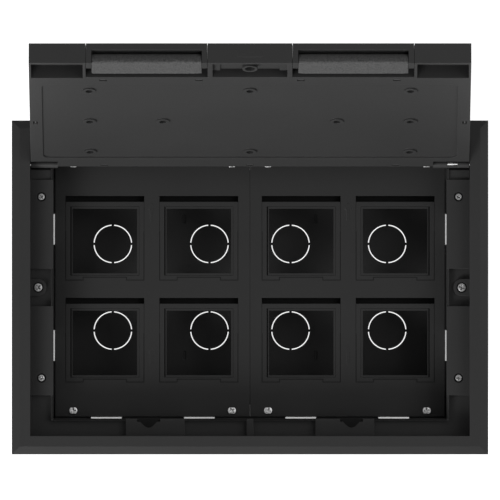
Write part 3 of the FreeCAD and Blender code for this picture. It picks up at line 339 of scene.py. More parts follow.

# %% [markdown]
# The pads that close the cable flaps are open-cell foam, whose torn cells make it look sandy. A Voronoi
# pattern has a centre in every cell, so its distance gives little pits, and a finer noise tears them. The
# pits are painted darker, as the shade that falls in them, and the same value pushes them in.

# %% Open-cell foam
foam_cells, tree, shader = new_material("open_cell_foam_finish")
place = add(tree, "ShaderNodeTexCoord")
cells = add(tree, "ShaderNodeTexVoronoi", {"Vector": place.outputs["Object"], "Scale": 900.0})
tufts = add(tree, "ShaderNodeTexNoise", {"Vector": place.outputs["Object"], "Scale": 420.0, "Detail": 3.0})
pits = add(tree, "ShaderNodeMapRange", {
    "Value": cells.outputs["Distance"], "From Min": 0.1, "From Max": 0.75, "To Min": 1.0, "To Max": 0.0})
pit_depth_and_shade = add(tree, "ShaderNodeMath", {0: pits.outputs["Result"], 1: tufts.outputs["Fac"]},
              operation="MULTIPLY")
# The pits get a darker colour: painted shade in the foam's cells.
shade = add(tree, "ShaderNodeMixRGB", {
    "Fac": pit_depth_and_shade.outputs["Value"], "Color1": grey(0.066), "Color2": grey(0.016)})
deep = add(tree, "ShaderNodeBump", {
    "Height": pit_depth_and_shade.outputs["Value"], "Strength": 0.8, "Distance": 0.5 * MM}, invert=True)
dry = add(tree, "ShaderNodeMapRange", {"Value": tufts.outputs["Fac"], "To Min": 0.85, "To Max": 1.0})
tree.links.new(shade.outputs["Color"], shader.inputs["Base Color"])
tree.links.new(dry.outputs["Result"], shader.inputs["Roughness"])
tree.links.new(deep.outputs["Normal"], shader.inputs["Normal"])
shader.inputs["Specular IOR Level"].default_value = 0.2
print("materials", len(bpy.data.materials))

# %% [markdown]
# A part of the model that has the right shape stays and only gets a better finish. Its record names a
# slot for every part, so one table from slot to finish dresses them all, and nothing is missed.

# %% Dress every part of the model
finish_of_slot = {
    "frame_moulding": frame_plastic, "tub_moulding": tub_plastic, "plate_moulding": plate_plastic,
    "module_moulding": window_plastic, "lid_moulding": lid_plastic, "foam": foam_cells,
    "zinc_steel": strip_steel, "screw_steel": screw_steel, "pin_steel": pin_steel, "cover_steel": cover_paint}
dressed = 0
for node in nodes.values():
    for material_slot in node.material_slots:
        name = material_slot.material.name.split(".")[0]
        material_slot.material = finish_of_slot[name]
        dressed += 1
print("dressed", dressed, "slots on", len(nodes), "parts")

# %% [markdown]
# New pieces are surfaces worked out on a grid: one parameter runs along the shape, the other round it,
# and numpy turns both into points at once. Primitives with modifiers could make some of them, but a formula
# gives every point its place. The faces follow from the grid alone: each joins four neighbours, and the last
# row or column joins the first where the shape closes.

# %% The faces of a grid
def grid_faces(rows, columns, wrap_rows=False, wrap_columns=False):
    """Each face joins a point to its neighbour along the row, across to the next row, and back."""
    r = np.arange(rows if wrap_rows else rows - 1)
    c = np.arange(columns if wrap_columns else columns - 1)
    r, c = np.meshgrid(r, c, indexing="ij")
    below, beside = (r + 1) % rows, (c + 1) % columns
    here, across = r * columns, below * columns
    faces = np.stack([here + c, here + beside, across + beside, across + c], -1)
    return faces.reshape(-1, 4)


print("faces of a 3 by 4 grid", len(grid_faces(3, 4)), "and wrapped", len(grid_faces(3, 4, False, True)))

# %% [markdown]
# foreach_set fills a mesh from whole arrays, where adding points one by one would be slow. Pieces of one
# kind, such as eight screws, go into one mesh as separate shells. Where a grid shrinks to a point, the
# doubled points are merged before every face is turned outwards.

# %% From grids to a mesh object
MERGE_WITHIN = 0.002 * MM


def fill_mesh(name, points, faces, finish, smooth=True):
    """Puts arrays of points and four-sided faces into a new mesh object, which stays at the origin."""
    points, faces = np.asarray(points, np.float32), np.asarray(faces, np.int32)
    mesh = bpy.data.meshes.new(name)
    mesh.vertices.add(len(points))
    mesh.vertices.foreach_set("co", points.ravel())
    mesh.loops.add(faces.size)
    mesh.loops.foreach_set("vertex_index", faces.ravel())
    mesh.polygons.add(len(faces))
    mesh.polygons.foreach_set("loop_start", np.arange(0, faces.size, 4, dtype=np.int32))
    mesh.polygons.foreach_set("use_smooth", np.full(len(faces), smooth))
    mesh.update(calc_edges=True)
    mesh.validate()
    mesh.materials.append(finish)
    made = bpy.data.objects.new(name, mesh)
    bpy.context.scene.collection.objects.link(made)
    return made


def many_grids(name, grids, finish, wrap_rows=False, wrap_columns=False, smooth=True):
    """Several grids of the same size, kept as separate shells in one mesh."""
    grids = np.asarray(grids, float)
    count, rows, columns = grids.shape[:3]
    faces = grid_faces(rows, columns, wrap_rows, wrap_columns)
    offsets = (np.arange(count) * rows * columns)[:, None, None]
    return fill_mesh(name, grids.reshape(-1, 3), (faces[None] + offsets).reshape(-1, 4), finish, smooth)


def closed_shells(name, grids, finish, wrap_rows=False, wrap_columns=True, smooth=True):
    """Grids that close on themselves: doubled points are merged, and every face is turned outwards."""
    made = many_grids(name, grids, finish, wrap_rows, wrap_columns, smooth)
    shell = bmesh.new()
    shell.from_mesh(made.data)
    bmesh.ops.remove_doubles(shell, verts=shell.verts, dist=MERGE_WITHIN)
    bmesh.ops.recalc_face_normals(shell, faces=shell.faces)
    shell.to_mesh(made.data)
    shell.free()
    return made


print("points closer than", MERGE_WITHIN, "m are merged")

# %% [markdown]
# The cross recess of a screw is the bright detail that the eye goes to, so it is cut and not painted on.
# Its four arms come from one formula: the larger of |x| and |y| is the distance along the nearest arm, and
# the smaller is the distance across it. An arm is deepest in the middle and rises at its sides and its end.

# %% The depth of a cross recess
ARM_RISE = 0.45  # how much shallower an arm is at its end than at the middle of the cross


def cross_recess(x, y, arm, width, depth, slant):
    """Depth = full depth * side ramp * end ramp * (1 - ARM_RISE * distance along the arm / arm)."""
    along, across = np.maximum(np.abs(x), np.abs(y)), np.minimum(np.abs(x), np.abs(y))
    sides = np.clip((width - across) / slant, 0.0, 1.0)
    ends = np.clip((arm - along) / (2.0 * slant), 0.0, 1.0)
    return depth * sides * ends * (1.0 - ARM_RISE * along / arm)


print("depth at the middle, of 1:", float(cross_recess(0.0, 0.0, 0.6, 0.2, 1.0, 0.1)))

# %% [markdown]
# One grid makes a whole screw. Its rows are rings: they spread out over the head as a low dome less the
# recess, go down the rim, in under the head, and down the shank to a closed tip. A plate screw's head has
# two flat sides, so each ring is cut at a straight line, whose radius is its distance over the sine.

# %% A screw as one grid
RINGS_ACROSS, STEPS_ROUND = 26, 72
# Parts of the head's radius: rim, arm width and wall slant. Parts of its thickness: dome and recess depth.
RIM, ARM_WIDTH, ARM_SLANT, DOME, RECESS = 0.12, 0.17, 0.06, 0.16, 0.8
TIP_LENGTH, TIP_RADIUS = 0.6, 0.55  # parts of the shank's radius


def screw_grid(middle, head_radius, head_low, head_top, shank_radius, tip, flat=None, turn=0.0, arm=0.62):
    """Head height = top, less dome times radius squared, less the recess, over rings and angles.

    turn is the angle of the recess, and arm its reach as a part of the head's radius. flat is the distance
    of the two flat sides from the middle, if the head has them.
    """
    angle = np.linspace(0.0, 2.0 * np.pi, STEPS_ROUND, endpoint=False)
    reach = np.full_like(angle, head_radius)
    if flat is not None:
        reach = np.minimum(reach, flat / np.maximum(np.abs(np.sin(angle)), 1e-6))
    rim, thick = RIM * head_radius, head_top - head_low
    radius = np.linspace(0.0, 1.0, RINGS_ACROSS)[:, None] * (reach - 0.5 * rim)[None]
    x, y = radius * np.cos(angle), radius * np.sin(angle)
    recess = cross_recess(x * math.cos(turn) - y * math.sin(turn), x * math.sin(turn) + y * math.cos(turn),
                          arm * head_radius, ARM_WIDTH * head_radius, RECESS * thick, ARM_SLANT * head_radius)
    top = head_top - DOME * thick * (radius / head_radius) ** 2 - recess
    shank = np.full_like(angle, shank_radius)
    rings = np.stack([reach, reach, shank, shank, TIP_RADIUS * shank, 0.0 * shank])
    levels = np.array([head_top - DOME * thick - rim, head_low, head_low,
                       tip + TIP_LENGTH * shank_radius, tip, tip])
    z = np.vstack([top, np.broadcast_to(levels[:, None], rings.shape)])
    x, y = np.vstack([x, rings * np.cos(angle)]), np.vstack([y, rings * np.sin(angle)])
    return np.stack([x, y, z], -1) + np.array([middle[0], middle[1], 0.0])


print("points in a screw", (RINGS_ACROSS + 6) * STEPS_ROUND)

# %% [markdown]
# The screws of one kind are one part of the model, so their places are read from its points: a few split
# lines put each solid in a cell of its own, and the middle of a cell's points is the middle of a screw.

# %% Where the screws of a part are
def solid_middles(name, split_x, split_y):
    """Middle points of a part's solids, which sit one in each cell between the split lines."""
    points = node_points(name)
    cell = np.digitize(points[:, 0], split_x) * 100 + np.digitize(points[:, 1], split_y)
    return [(points[cell == c].min(0) + points[cell == c].max(0)) / 2 for c in np.unique(cell)]


plate_middles = solid_middles("plate_screws", [-60 * MM, 0.0, 60 * MM], [0.0])
frame_middles = solid_middles("frame_screws", [0.0], [0.0])
print("plate screws", len(plate_middles), "frame screws", len(frame_middles))

# %% [markdown]
# Eight screws hold the device plates down. They stand proud of the plates and are the brightest, being
# freshly plated. No two stop at the same angle, so each recess is turned a little further than the last.

# %% Plate screws
PLATE_HEAD, PLATE_FLAT, PLATE_SHANK, SEAT_GAP = 2.9 * MM, 2.25 * MM, 1.7 * MM, 0.02 * MM
plate_low, plate_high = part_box("plate_screws")
plate_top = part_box("device_plate_left")[1].z
plate_grids = [
    screw_grid(middle, PLATE_HEAD, plate_top + SEAT_GAP, plate_high.z, PLATE_SHANK, plate_low.z,
               flat=PLATE_FLAT, turn=0.5 * i, arm=0.66)
    for i, middle in enumerate(plate_middles)]
plate_screws = closed_shells("plate_screw_heads", plate_grids, screw_steel)
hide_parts("plate_screws")
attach(plate_screws, "box")
print("plate screws", len(plate_grids))

# %% [markdown]
# Four screws through the side ledges hold the trim frame to the tub. They are sunk and round-headed, and
# their plating is duller, so they share the grid and not the finish.

# %% Frame screws
FRAME_HEAD, FRAME_SHANK, HEAD_THICKNESS = 2.38 * MM, 1.58 * MM, 2.2 * MM
frame_low, frame_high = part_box("frame_screws")
frame_grids = [
    screw_grid(middle, FRAME_HEAD, frame_high.z - HEAD_THICKNESS, frame_high.z, FRAME_SHANK, frame_low.z,
               turn=0.35 + 0.6 * i)
    for i, middle in enumerate(frame_middles)]
frame_screws = closed_shells("frame_screw_heads", frame_grids, dull_screw_steel)
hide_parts("frame_screws")
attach(frame_screws, "box")
print("frame screws", len(frame_grids))

# %% [markdown]
# The clamp screws in the middle of the side ledges are longer and thicker. Each turns its own claw under
# the floor panel, so each is a body of its own and its detailed screw rides on that body.

# %% Clamp screws
CLAMP_HEAD, CLAMP_SHANK = 2.93 * MM, 1.98 * MM
for side, turn in (("left", 0.75), ("right", 0.3)):
    low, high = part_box(f"clamp_screw_{side}")
    grid = screw_grid((low + high) / 2, CLAMP_HEAD, high.z - HEAD_THICKNESS, high.z, CLAMP_SHANK, low.z,
                      turn=turn, arm=0.7)
    clamp = closed_shells(f"clamp_screw_{side}_detail", [grid], dull_screw_steel)
    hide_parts(f"clamp_screw_{side}")
    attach(clamp, f"clamp_screw_{side}")
    print(clamp.name, "from", round(low.z, 4), "to", round(high.z, 4))

# %% [markdown]
# Between the windows each plate carries small raised arrows that point to the hinge side. A bump texture
# would show them only from above, so each is a half-round bead carried along the arrow's outline: one
# parameter goes along the path, the other over the bead.

# %% A bead along a closed path
BEAD_HALF, BEAD_RISE, BEAD_SUNK, BEAD_STEPS = 0.24 * MM, 0.16 * MM, 0.05 * MM, 7
MITRE_LIMIT = 0.35  # keeps the offset of a sharp corner from growing without end


def mitres(unit_in, unit_out):
    """Sum of both sides' normals, over its part along the first one: where the two offset sides meet."""
    normal_in = np.stack([unit_in[:, 1], -unit_in[:, 0]], 1)
    mitre = normal_in + np.stack([unit_out[:, 1], -unit_out[:, 0]], 1)
    return mitre / np.maximum(np.sum(mitre * normal_in, axis=1, keepdims=True), MITRE_LIMIT)


def bead_along(path, level):
    """Sideways = mitre times -cos(t) times half width, and height = sin(t) times rise, for t from 0 to pi."""
    before, after = np.roll(path, 1, 0), np.roll(path, -1, 0)
    unit_in = (path - before) / np.linalg.norm(path - before, axis=1, keepdims=True)
    unit_out = (after - path) / np.linalg.norm(after - path, axis=1, keepdims=True)
    over = np.linspace(0.0, np.pi, BEAD_STEPS)
    sideways = mitres(unit_in, unit_out)[:, None, :] * (-np.cos(over) * BEAD_HALF)[None, :, None]
    flat = path[:, None, :] + sideways
    height = np.broadcast_to(level + np.sin(over) * BEAD_RISE - BEAD_SUNK, flat.shape[:2])
    return np.concatenate([flat, height[..., None]], -1)


print("bead", round(BEAD_RISE - BEAD_SUNK, 5), "m high")

# %% [markdown]
# The arrow is a closed outline of seven corners: point, head and stem. One stands in the middle of the web
# between two windows, and the same outline serves all four places.

# %% Raised arrows on the device plates
ARROW_LENGTH, ARROW_HALF, HEAD_LENGTH, STEM_HALF = 12.0 * MM, 2.4 * MM, 4.2 * MM, 1.0 * MM
neck = ARROW_LENGTH - HEAD_LENGTH
outline = np.array([(0.0, ARROW_LENGTH), (ARROW_HALF, neck), (STEM_HALF, neck), (STEM_HALF, 0.0),
                    (-STEM_HALF, 0.0), (-STEM_HALF, neck), (-ARROW_HALF, neck)])
# Middle of each row's arrows, measured from the rear edge of a window in that row.
ARROW_ROWS = {"module_frame_1": -7.0 * MM, "module_frame_5": -36.0 * MM}
arrows = []
for left, right in ((1, 2), (3, 4)):
    web_middle = (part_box(f"module_frame_{left}")[1].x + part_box(f"module_frame_{right}")[0].x) / 2
    for window, back in ARROW_ROWS.items():
        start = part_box(window)[1].y + back - ARROW_LENGTH / 2
        arrows.append(bead_along(outline + np.array([web_middle, start]), plate_top))
arrow_marks = closed_shells("plate_arrows", arrows, plate_plastic, wrap_rows=True, wrap_columns=False)
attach(arrow_marks, "box")
print("arrows", len(arrows))

# %% [markdown]
# Each cable flap closes on a block of soft foam. It is cut square but glued under the flap's bar, which
# squeezes its upper edge back, so its end face bends away in a wide curve towards the bar, while the lower
# part bulges forward. A subdivided cube could be pushed into that shape by hand, but a closed section whose
# corners have a radius each says it in four numbers.

# %% A section with rounded corners
def rounded_section(width, height, radii, steps=9):
    """Points round a rectangle from its lower left, each corner a quarter circle of its own radius."""
    centres = [(radii[0], radii[0]), (width - radii[1], radii[1]),
               (width - radii[2], height - radii[2]), (radii[3], height - radii[3])]
    starts = np.radians([180.0, 270.0, 0.0, 90.0])
    sweep = np.linspace(0.0, np.pi / 2, steps)
    corners = [np.stack([cx + r * np.cos(a + sweep), cy + r * np.sin(a + sweep)], 1)
               for (cx, cy), r, a in zip(centres, radii, starts)]
    return np.concatenate(corners)


def resample_loop(points, count):
    """The same closed loop with points evenly spaced along its length."""
    closed = np.vstack([points, points[:1]])
    run = np.concatenate([[0.0], np.cumsum(np.linalg.norm(np.diff(closed, axis=0), axis=1))])
    at = np.linspace(0.0, run[-1], count, endpoint=False)
    return np.stack([np.interp(at, run, closed[:, k]) for k in range(2)], 1)


print("points in a plain section", len(rounded_section(1.0, 1.0, np.full(4, 0.1))))

# %% [markdown]
# The section is carried along the flap, draws in a little near both ends, and closes at each end through a
# smaller loop. Knife-cut cells leave a rough surface, so seeded noise moves each point in or out by less
# than a tenth of a millimetre, and every run gives the same pad.

# %% A foam pad as a grid
FOAM_CORNERS = np.array([1.0, 8.4, 1.5, 1.0]) * MM
LOOP_POINTS, FOAM_ROWS, END_LOOP = 120, 150, 0.55
DRAW_IN, DRAW_RATE = 0.05, 55.0
CUT_ROUGHNESS = 0.09 * MM


def foam_grid(side, seed):
    """Point = middle + (loop point - middle) * draw-in + noise along the outward direction."""
    low, high = lid_extent(f"foam_pad_{side}")
    length, thick = high[1] - low[1], high[2] - low[2]
    loop = resample_loop(rounded_section(length, thick, FOAM_CORNERS), LOOP_POINTS)
    middle = loop.mean(0)
    across = np.concatenate([[0.0, 0.0], np.linspace(0.0, 1.0, FOAM_ROWS), [1.0, 1.0]])
    shrink = np.concatenate([[0.0, END_LOOP], np.ones(FOAM_ROWS), [END_LOOP, 0.0]])
    draw_in = 1.0 - DRAW_IN * np.exp(-np.minimum(across, 1.0 - across) * DRAW_RATE)
    section = middle + (loop - middle)[None] * (shrink * draw_in)[:, None, None]
    rough = np.random.default_rng(seed).normal(0.0, CUT_ROUGHNESS, section.shape[:2])
    rough = 0.5 * rough + 0.5 * (np.roll(rough, 1, 1) + np.roll(rough, 1, 0)) / 2
    outward = (loop - middle) / np.linalg.norm(loop - middle, axis=1, keepdims=True)
    section = section + outward[None] * (rough * (shrink == 1.0)[:, None])[..., None]
    section = np.clip(section, 0.0, np.array([length, thick]))
    x = low[0] + (high[0] - low[0]) * across
    return np.stack([np.broadcast_to(x[:, None], section.shape[:2]), low[1] + section[..., 0],
                     low[2] + (thick - section[..., 1])], -1)


print("rows in a pad", FOAM_ROWS + 4)

# %% [markdown]
# Each pad takes the place of its plain block, and rides on its flap.

# %% Foam pads under the flaps
for side, seed in (("left", 11), ("right", 12)):
    pad = closed_shells(f"foam_pad_{side}_cut", [from_lid(foam_grid(side, seed))], foam_cells)
    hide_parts(f"foam_pad_{side}")
    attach(pad, f"flap_{side}")
    print(pad.name, "points", len(pad.data.vertices))

# %% [markdown]
# Several small mouldings are plain blocks with rounded edges. A cube with a Bevel modifier would do as
# well, but the section helper is already here. Its loop is swept along X and closed to a point at each end.

# %% A small block with rounded edges
CLOSED_ENDS = np.array([0.0, 1.0, 1.0, 0.0])  # a point, the full section twice, and a point again


def rounded_block(low, high, radii=None, bulge=0.25, steps=4):
    """Without radii, all four corners have the same one: bulge times the section's smaller side."""
    low, high = np.array(low, float), np.array(high, float)
    size = high - low
    if radii is None:
        radii = np.full(4, bulge * min(size[1], size[2]))
    loop = rounded_section(size[1], size[2], radii, steps)
    middle = loop.mean(0)
    section = middle + (loop - middle)[None] * CLOSED_ENDS[:, None, None]
    x = low[0] + size[0] * np.array([0.0, 0.0, 1.0, 1.0])
    return np.stack([np.broadcast_to(x[:, None], section.shape[:2]), low[1] + section[..., 0],
                     low[2] + section[..., 1]], -1)


print("points in a block", rounded_block((0, 0, 0), (1, 1, 1)).shape[:2])

# %% [markdown]
# Each flap runs with a little play beside the lid's blocks, and a lip moulded on the lid stands in that gap
# so that no light comes through. The lips are measured from the flap, in the lid's own directions.

# %% Lips in the gaps beside the flaps
LIP_NEAR, LIP_FAR = 0.06 * MM, 0.34 * MM  # from the flap's end
LIP_LENGTH, LIP_INSET, LIP_FLOOR, LIP_TOP = 9.0 * MM, 0.25 * MM, 1.0 * MM, 0.6 * MM
lips = []
for side in ("left", "right"):
    low, high = lid_extent(f"cable_flap_{side}")
    for edge, away in ((low[0], -1.0), (high[0], 1.0)):
        near, far = sorted((edge + away * LIP_NEAR, edge + away * LIP_FAR))
        lips.append(from_lid(rounded_block((near, high[1] - LIP_LENGTH, low[2] + LIP_FLOOR),
                                           (far, high[1] - LIP_INSET, high[2] - LIP_TOP))))
flap_lips = closed_shells("flap_gap_lips", lips, lid_plastic, smooth=False)
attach(flap_lips, "lid")
print("lips", len(lips))

# %% [markdown]
# The latch bolt comes out through the lid's free end. A thin cap on the bolt's end overlaps the edge of its
# slot and closes it against dust, so the free end looks unbroken while the bolt is in. It rides on the
# latch, not on the lid, and goes out with the bolt.

# %% Cap on the latch bolt
CAP_OVERLAP = np.array([0.75 * MM, 0.0, 0.45 * MM])
CAP_BACK, CAP_PROUD = 0.2 * MM, 0.13 * MM
latch_points = to_lid(node_points("latch_slider"))
bolt_end = latch_points[latch_points[:, 1] > latch_points[:, 1].max() - 0.05 * MM]
low, high = bolt_end.min(0) - CAP_OVERLAP, bolt_end.max(0) + CAP_OVERLAP
cap = rounded_block((low[0], high[1] - CAP_BACK, low[2]), (high[0], high[1] + CAP_PROUD, high[2]), bulge=0.1)
bolt_cap = closed_shells("latch_bolt_cap", [from_lid(cap)], lid_plastic, smooth=False)
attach(bolt_cap, "latch")
print("bolt cap", [round(float(v), 4) for v in high - low])

# %% [markdown]
# At each end of the hinge trough the frame's side ledge ends in a step just below the level of its screws.
# One upper edge of the step is rounder than the others, so it has a radius of its own.

# %% Steps at the ends of the hinge trough
STEP_INNER, STEP_OUTER, STEP_FRONT, STEP_BACK = 137.2 * MM, 152.6 * MM, 75.0 * MM, 82.5 * MM
STEP_HEIGHT, STEP_DROP = 8.0 * MM, 0.4 * MM
STEP_CORNERS = np.array([0.3, 0.3, 1.2, 0.3]) * MM
step_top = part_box("frame_screws")[1].z - STEP_DROP
steps = []
for sign in (-1, 1):
    x_low, x_high = sorted((sign * STEP_INNER, sign * STEP_OUTER))
    steps.append(rounded_block((x_low, STEP_FRONT, step_top - STEP_HEIGHT), (x_high, STEP_BACK, step_top),
                               STEP_CORNERS, steps=5))
trough_steps = closed_shells("trough_steps", steps, frame_plastic, smooth=False)
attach(trough_steps, "box")
print("steps", len(steps))

# %% [markdown]
# The joints round the plates and the windows, the slots behind the module frames and the cable notches are
# painted dark with black pieces, standing in for the shade in them. They are the darkest thing in the box,
# and only a little dust on them keeps them from being a hole: one noise gives the dust, which is paler and
# rougher than the black.

# %% Near black for painted shade
shade_strip_black, tree, shader = new_material("black_painted_shade_finish")
place = add(tree, "ShaderNodeTexCoord")
dust = add(tree, "ShaderNodeTexNoise", {"Vector": place.outputs["Object"], "Scale": 500.0, "Detail": 2.0})
# Near black, for painted shade in the gaps, with a little paler dust.
dusty = add(tree, "ShaderNodeMixRGB", {
    "Fac": dust.outputs["Fac"], "Color1": grey(0.002), "Color2": grey(0.007)})
matt_skin = add(tree, "ShaderNodeMapRange", {"Value": dust.outputs["Fac"], "To Min": 0.7, "To Max": 0.95})
tree.links.new(dusty.outputs["Color"], shader.inputs["Base Color"])
tree.links.new(matt_skin.outputs["Result"], shader.inputs["Roughness"])
shader.inputs["Specular IOR Level"].default_value = 0.1
print("seal", shade_strip_black.name)

# %% [markdown]
# The device plates don't touch the tub, and the gap round them lies in shade except where a steel tab of the
# support rails stands in it. So a black strip lies in each stretch that the tabs leave, as painted shade.

# %% Strips, and the stretches between tabs
HALF_TAB = 10.9 * MM


def strip(x, y, low, high):
    """A small upright block between two corners as a closed grid: a ring of corners at four heights."""
    corners = np.array([(x[0], y[0]), (x[1], y[0]), (x[1], y[1]), (x[0], y[1])])
    middle = corners.mean(0)
    level = np.array([low, low, high, high])
    ring = middle + (corners - middle)[None] * CLOSED_ENDS[:, None, None]
    return np.concatenate([ring, np.broadcast_to(level[:, None, None], (4, 4, 1))], -1)


def between(tabs, end):
    """Start and end of each stretch that is left between the tabs, from -end to end."""
    stops = np.concatenate([[-end], np.stack([tabs - HALF_TAB, tabs + HALF_TAB], 1).ravel(), [end]])
    return stops.reshape(-1, 2)


print("stretches between two tabs", len(between(np.array([-0.04, 0.04]), 0.075)))

# %% [markdown]
# The strips lie just under the plates' upper face, with a hair of play to both walls. One more, painted shade
# in the slot, lies at the bottom of the slot behind each module frame, and all of them are one piece.

# %% Black strips of painted shade
TABS_X, TABS_Y = np.array([-99.9, -35.3, 35.3, 99.9]) * MM, np.array([-40.4, 40.4]) * MM
SIDE_END, STRIP_PLAY = 75.0 * MM, 0.05 * MM
SLOT_START, SLOT_END = 0.1 * MM, 4.0 * MM  # behind a module frame
plate_x, plate_y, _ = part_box("device_plate_right")[1]
tub_x, tub_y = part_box("support_rail_right")[1].x, -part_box("support_rail_front")[0].y
strip_low, strip_high = plate_top - 1.6 * MM, plate_top - 0.4 * MM
strips = [strip(span, (-tub_y + STRIP_PLAY, -plate_y - STRIP_PLAY), strip_low, strip_high)
          for span in between(TABS_X, plate_x)]
for sign in (-1, 1):
    across = sorted((sign * (plate_x + STRIP_PLAY), sign * (tub_x - STRIP_PLAY)))
    strips += [strip(across, span, strip_low, strip_high) for span in between(TABS_Y, SIDE_END)]
for number in range(1, 9):
    low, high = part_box(f"module_frame_{number}")
    strips.append(strip((low.x, high.x), (high.y + SLOT_START, high.y + SLOT_END), low.z - 1.0 * MM,
                        low.z + 0.5 * MM))
# Black strips that stand in for the shade in the gaps and slots.
gap_shade_strips = closed_shells("plate_edge_seal", strips, shade_strip_black, smooth=False)
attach(gap_shade_strips, "box")
print("sealing strips", len(strips))

# %% [markdown]
# A fine black line, painted shade, marks where each module frame meets its plate, round the notch that keys
# it so that it can't be put in the wrong way round. It is a flat band on an open path, a hair above the
# plate.

# %% Painted shade lines round the keyed side of each module frame
LINE_HALF, LINE_LIFT, LINE_SIDE = 0.28 * MM, 0.015 * MM, 34.0 * MM
KEY_HALF, KEY_DEEP = 15.1 * MM, 2.0 * MM


def flat_band(path, level):
    """Each point of the path goes half a width to each side along its mitre."""
    step = np.diff(path, axis=0)
    unit = step / np.linalg.norm(step, axis=1, keepdims=True)
    unit_in, unit_out = np.vstack([unit[:1], unit]), np.vstack([unit, unit[-1:]])
    sideways = mitres(unit_in, unit_out)[:, None, :] * np.array([LINE_HALF, -LINE_HALF])[None, :, None]
    edges = path[:, None, :] + sideways
    return np.concatenate([edges, np.full(edges.shape[:2] + (1,), level)], -1)


lines = []
for number in range(1, 9):
    low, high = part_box(f"module_frame_{number}")
    key = (low.x + high.x) / 2 + np.array([-KEY_HALF, KEY_HALF])
    path = np.array([
        (low.x, low.y + LINE_SIDE), (low.x, low.y), (key[0], low.y), (key[0], low.y + KEY_DEEP),
        (key[1], low.y + KEY_DEEP), (key[1], low.y), (high.x, low.y), (high.x, low.y + LINE_SIDE)])
    lines.append(flat_band(path, plate_top + LINE_LIFT))
# Black bands that stand in for the shade in the joint.
joint_shade_lines = many_grids("module_joint_lines", lines, shade_strip_black, smooth=False)
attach(joint_shade_lines, "box")
print("joint lines", len(lines))

# %% [markdown]
# The two cable notches in the front ledge narrow like a bell, and a thin black slab in their mouth is painted
# shade there. Its outline is a half width that shrinks with a power of the distance from the mouth, which
# gives straight flanks and a round end from one formula.

# %% Painted shade in the cable notches
NOTCH_PLACE, NOTCH_HALF, NOTCH_DEEP, PAD_TOP = 70.5 * MM, 8.0 * MM, 6.9 * MM, 79.9 * MM
MOUTH_BACK, SLAB_SUNK, SLAB_PROUD = 0.5 * MM, 0.2 * MM, 0.1 * MM
BELL_ROWS, BELL_POWER = 28, 0.63


def bell_shade_slab(middle):
    """A thin closed slab: half width is the mouth's times (1 - t) to a power, as t goes from 0 to 1."""
    t = np.linspace(0.0, 0.998, BELL_ROWS)
    half = NOTCH_HALF * (1.0 - t) ** BELL_POWER
    y = -tub_y + MOUTH_BACK - NOTCH_DEEP * t
    sides = np.stack([np.stack([middle - half, y], -1), np.stack([middle + half, y], -1)], 1)
    under = np.concatenate([sides, np.full((BELL_ROWS, 2, 1), PAD_TOP - SLAB_SUNK)], -1)
    over = np.concatenate([sides[:, ::-1], np.full((BELL_ROWS, 2, 1), PAD_TOP + SLAB_PROUD)], -1)
    section = np.concatenate([under, over], 1)
    ends = section.mean(1, keepdims=True)
    return np.concatenate([np.broadcast_to(ends[:1], section[:1].shape), section,
                           np.broadcast_to(ends[-1:], section[-1:].shape)], 0)


shade_slabs = [bell_shade_slab(sign * NOTCH_PLACE) for sign in (-1, 1)]
# Black slabs that stand in for the shade in the notches.
notch_shade = closed_shells("cable_notch_seals", shade_slabs, shade_strip_black, smooth=False)
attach(notch_shade, "box")
print("notch seals", len(shade_slabs))

# %% [markdown]
# The four-part slots round the knock-outs leave the mould with a thin lip along their inner edge, so that
# light comes through narrower than the slot is. Each lip is a small square section carried round a circle.

# %% Lips in the knock-out slots
KNOCKOUT_X, KNOCKOUT_Y = np.array([-95.8, -28.3, 28.3, 95.8]) * MM, np.array([-30.25, 30.25]) * MM
SLOT_INNER, SLOT_LIP, LIP_ROOT = 12.35 * MM, 0.35 * MM, 0.05 * MM
corner_radius = SLOT_INNER + np.array([-LIP_ROOT, SLOT_LIP, SLOT_LIP, -LIP_ROOT])
corner_height = np.array([0.8, 0.8, 1.6, 1.6]) * MM
turn = np.linspace(0.0, 2 * np.pi, 96, endpoint=False)[:, None]
ring = np.stack([corner_radius * np.cos(turn), corner_radius * np.sin(turn),
                 np.broadcast_to(corner_height, (96, 4))], -1)
slot_rings = [ring + np.array([x, y, 0.0]) for x in KNOCKOUT_X for y in KNOCKOUT_Y]
slot_lips = closed_shells("knockout_slot_lips", slot_rings, tub_plastic, wrap_rows=True, smooth=False)
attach(slot_lips, "box")
print("slot lips", len(slot_rings))

# %% [markdown]
# The box is looked at straight from above, from so far away that near and far edges hardly differ in
# size. A very long lens does that. The distance follows from it: a width seen through a lens grows with
# the distance as the film width over the focal length.

# %% Camera
FOCAL, FILM, VIEW_WIDTH = 1720.0, 36.0, 346.15 * MM
MATCHED_HEIGHT, VIEW_MIDDLE_Y = 150.0 * MM, 26.0 * MM
distance = VIEW_WIDTH * FOCAL / FILM
lens = bpy.data.cameras.new("overhead_lens")
lens.lens, lens.sensor_width = FOCAL, FILM
lens.clip_start, lens.clip_end = 1.0, 60.0
camera = bpy.data.objects.new("overhead_camera", lens)
camera.location = (0.0, VIEW_MIDDLE_Y, MATCHED_HEIGHT + distance)
bpy.context.scene.collection.objects.link(camera)
bpy.context.scene.camera = camera
print("camera", round(distance, 2), "m above the matched height")

# %% [markdown]
# The floor is plain and pale. Seen by the camera it should be white without more light falling on the
# object, so a part of its brightness is only there for rays that come straight from the camera or by way
# of metal or glass. The same switch serves the world behind the box, so it is a function.

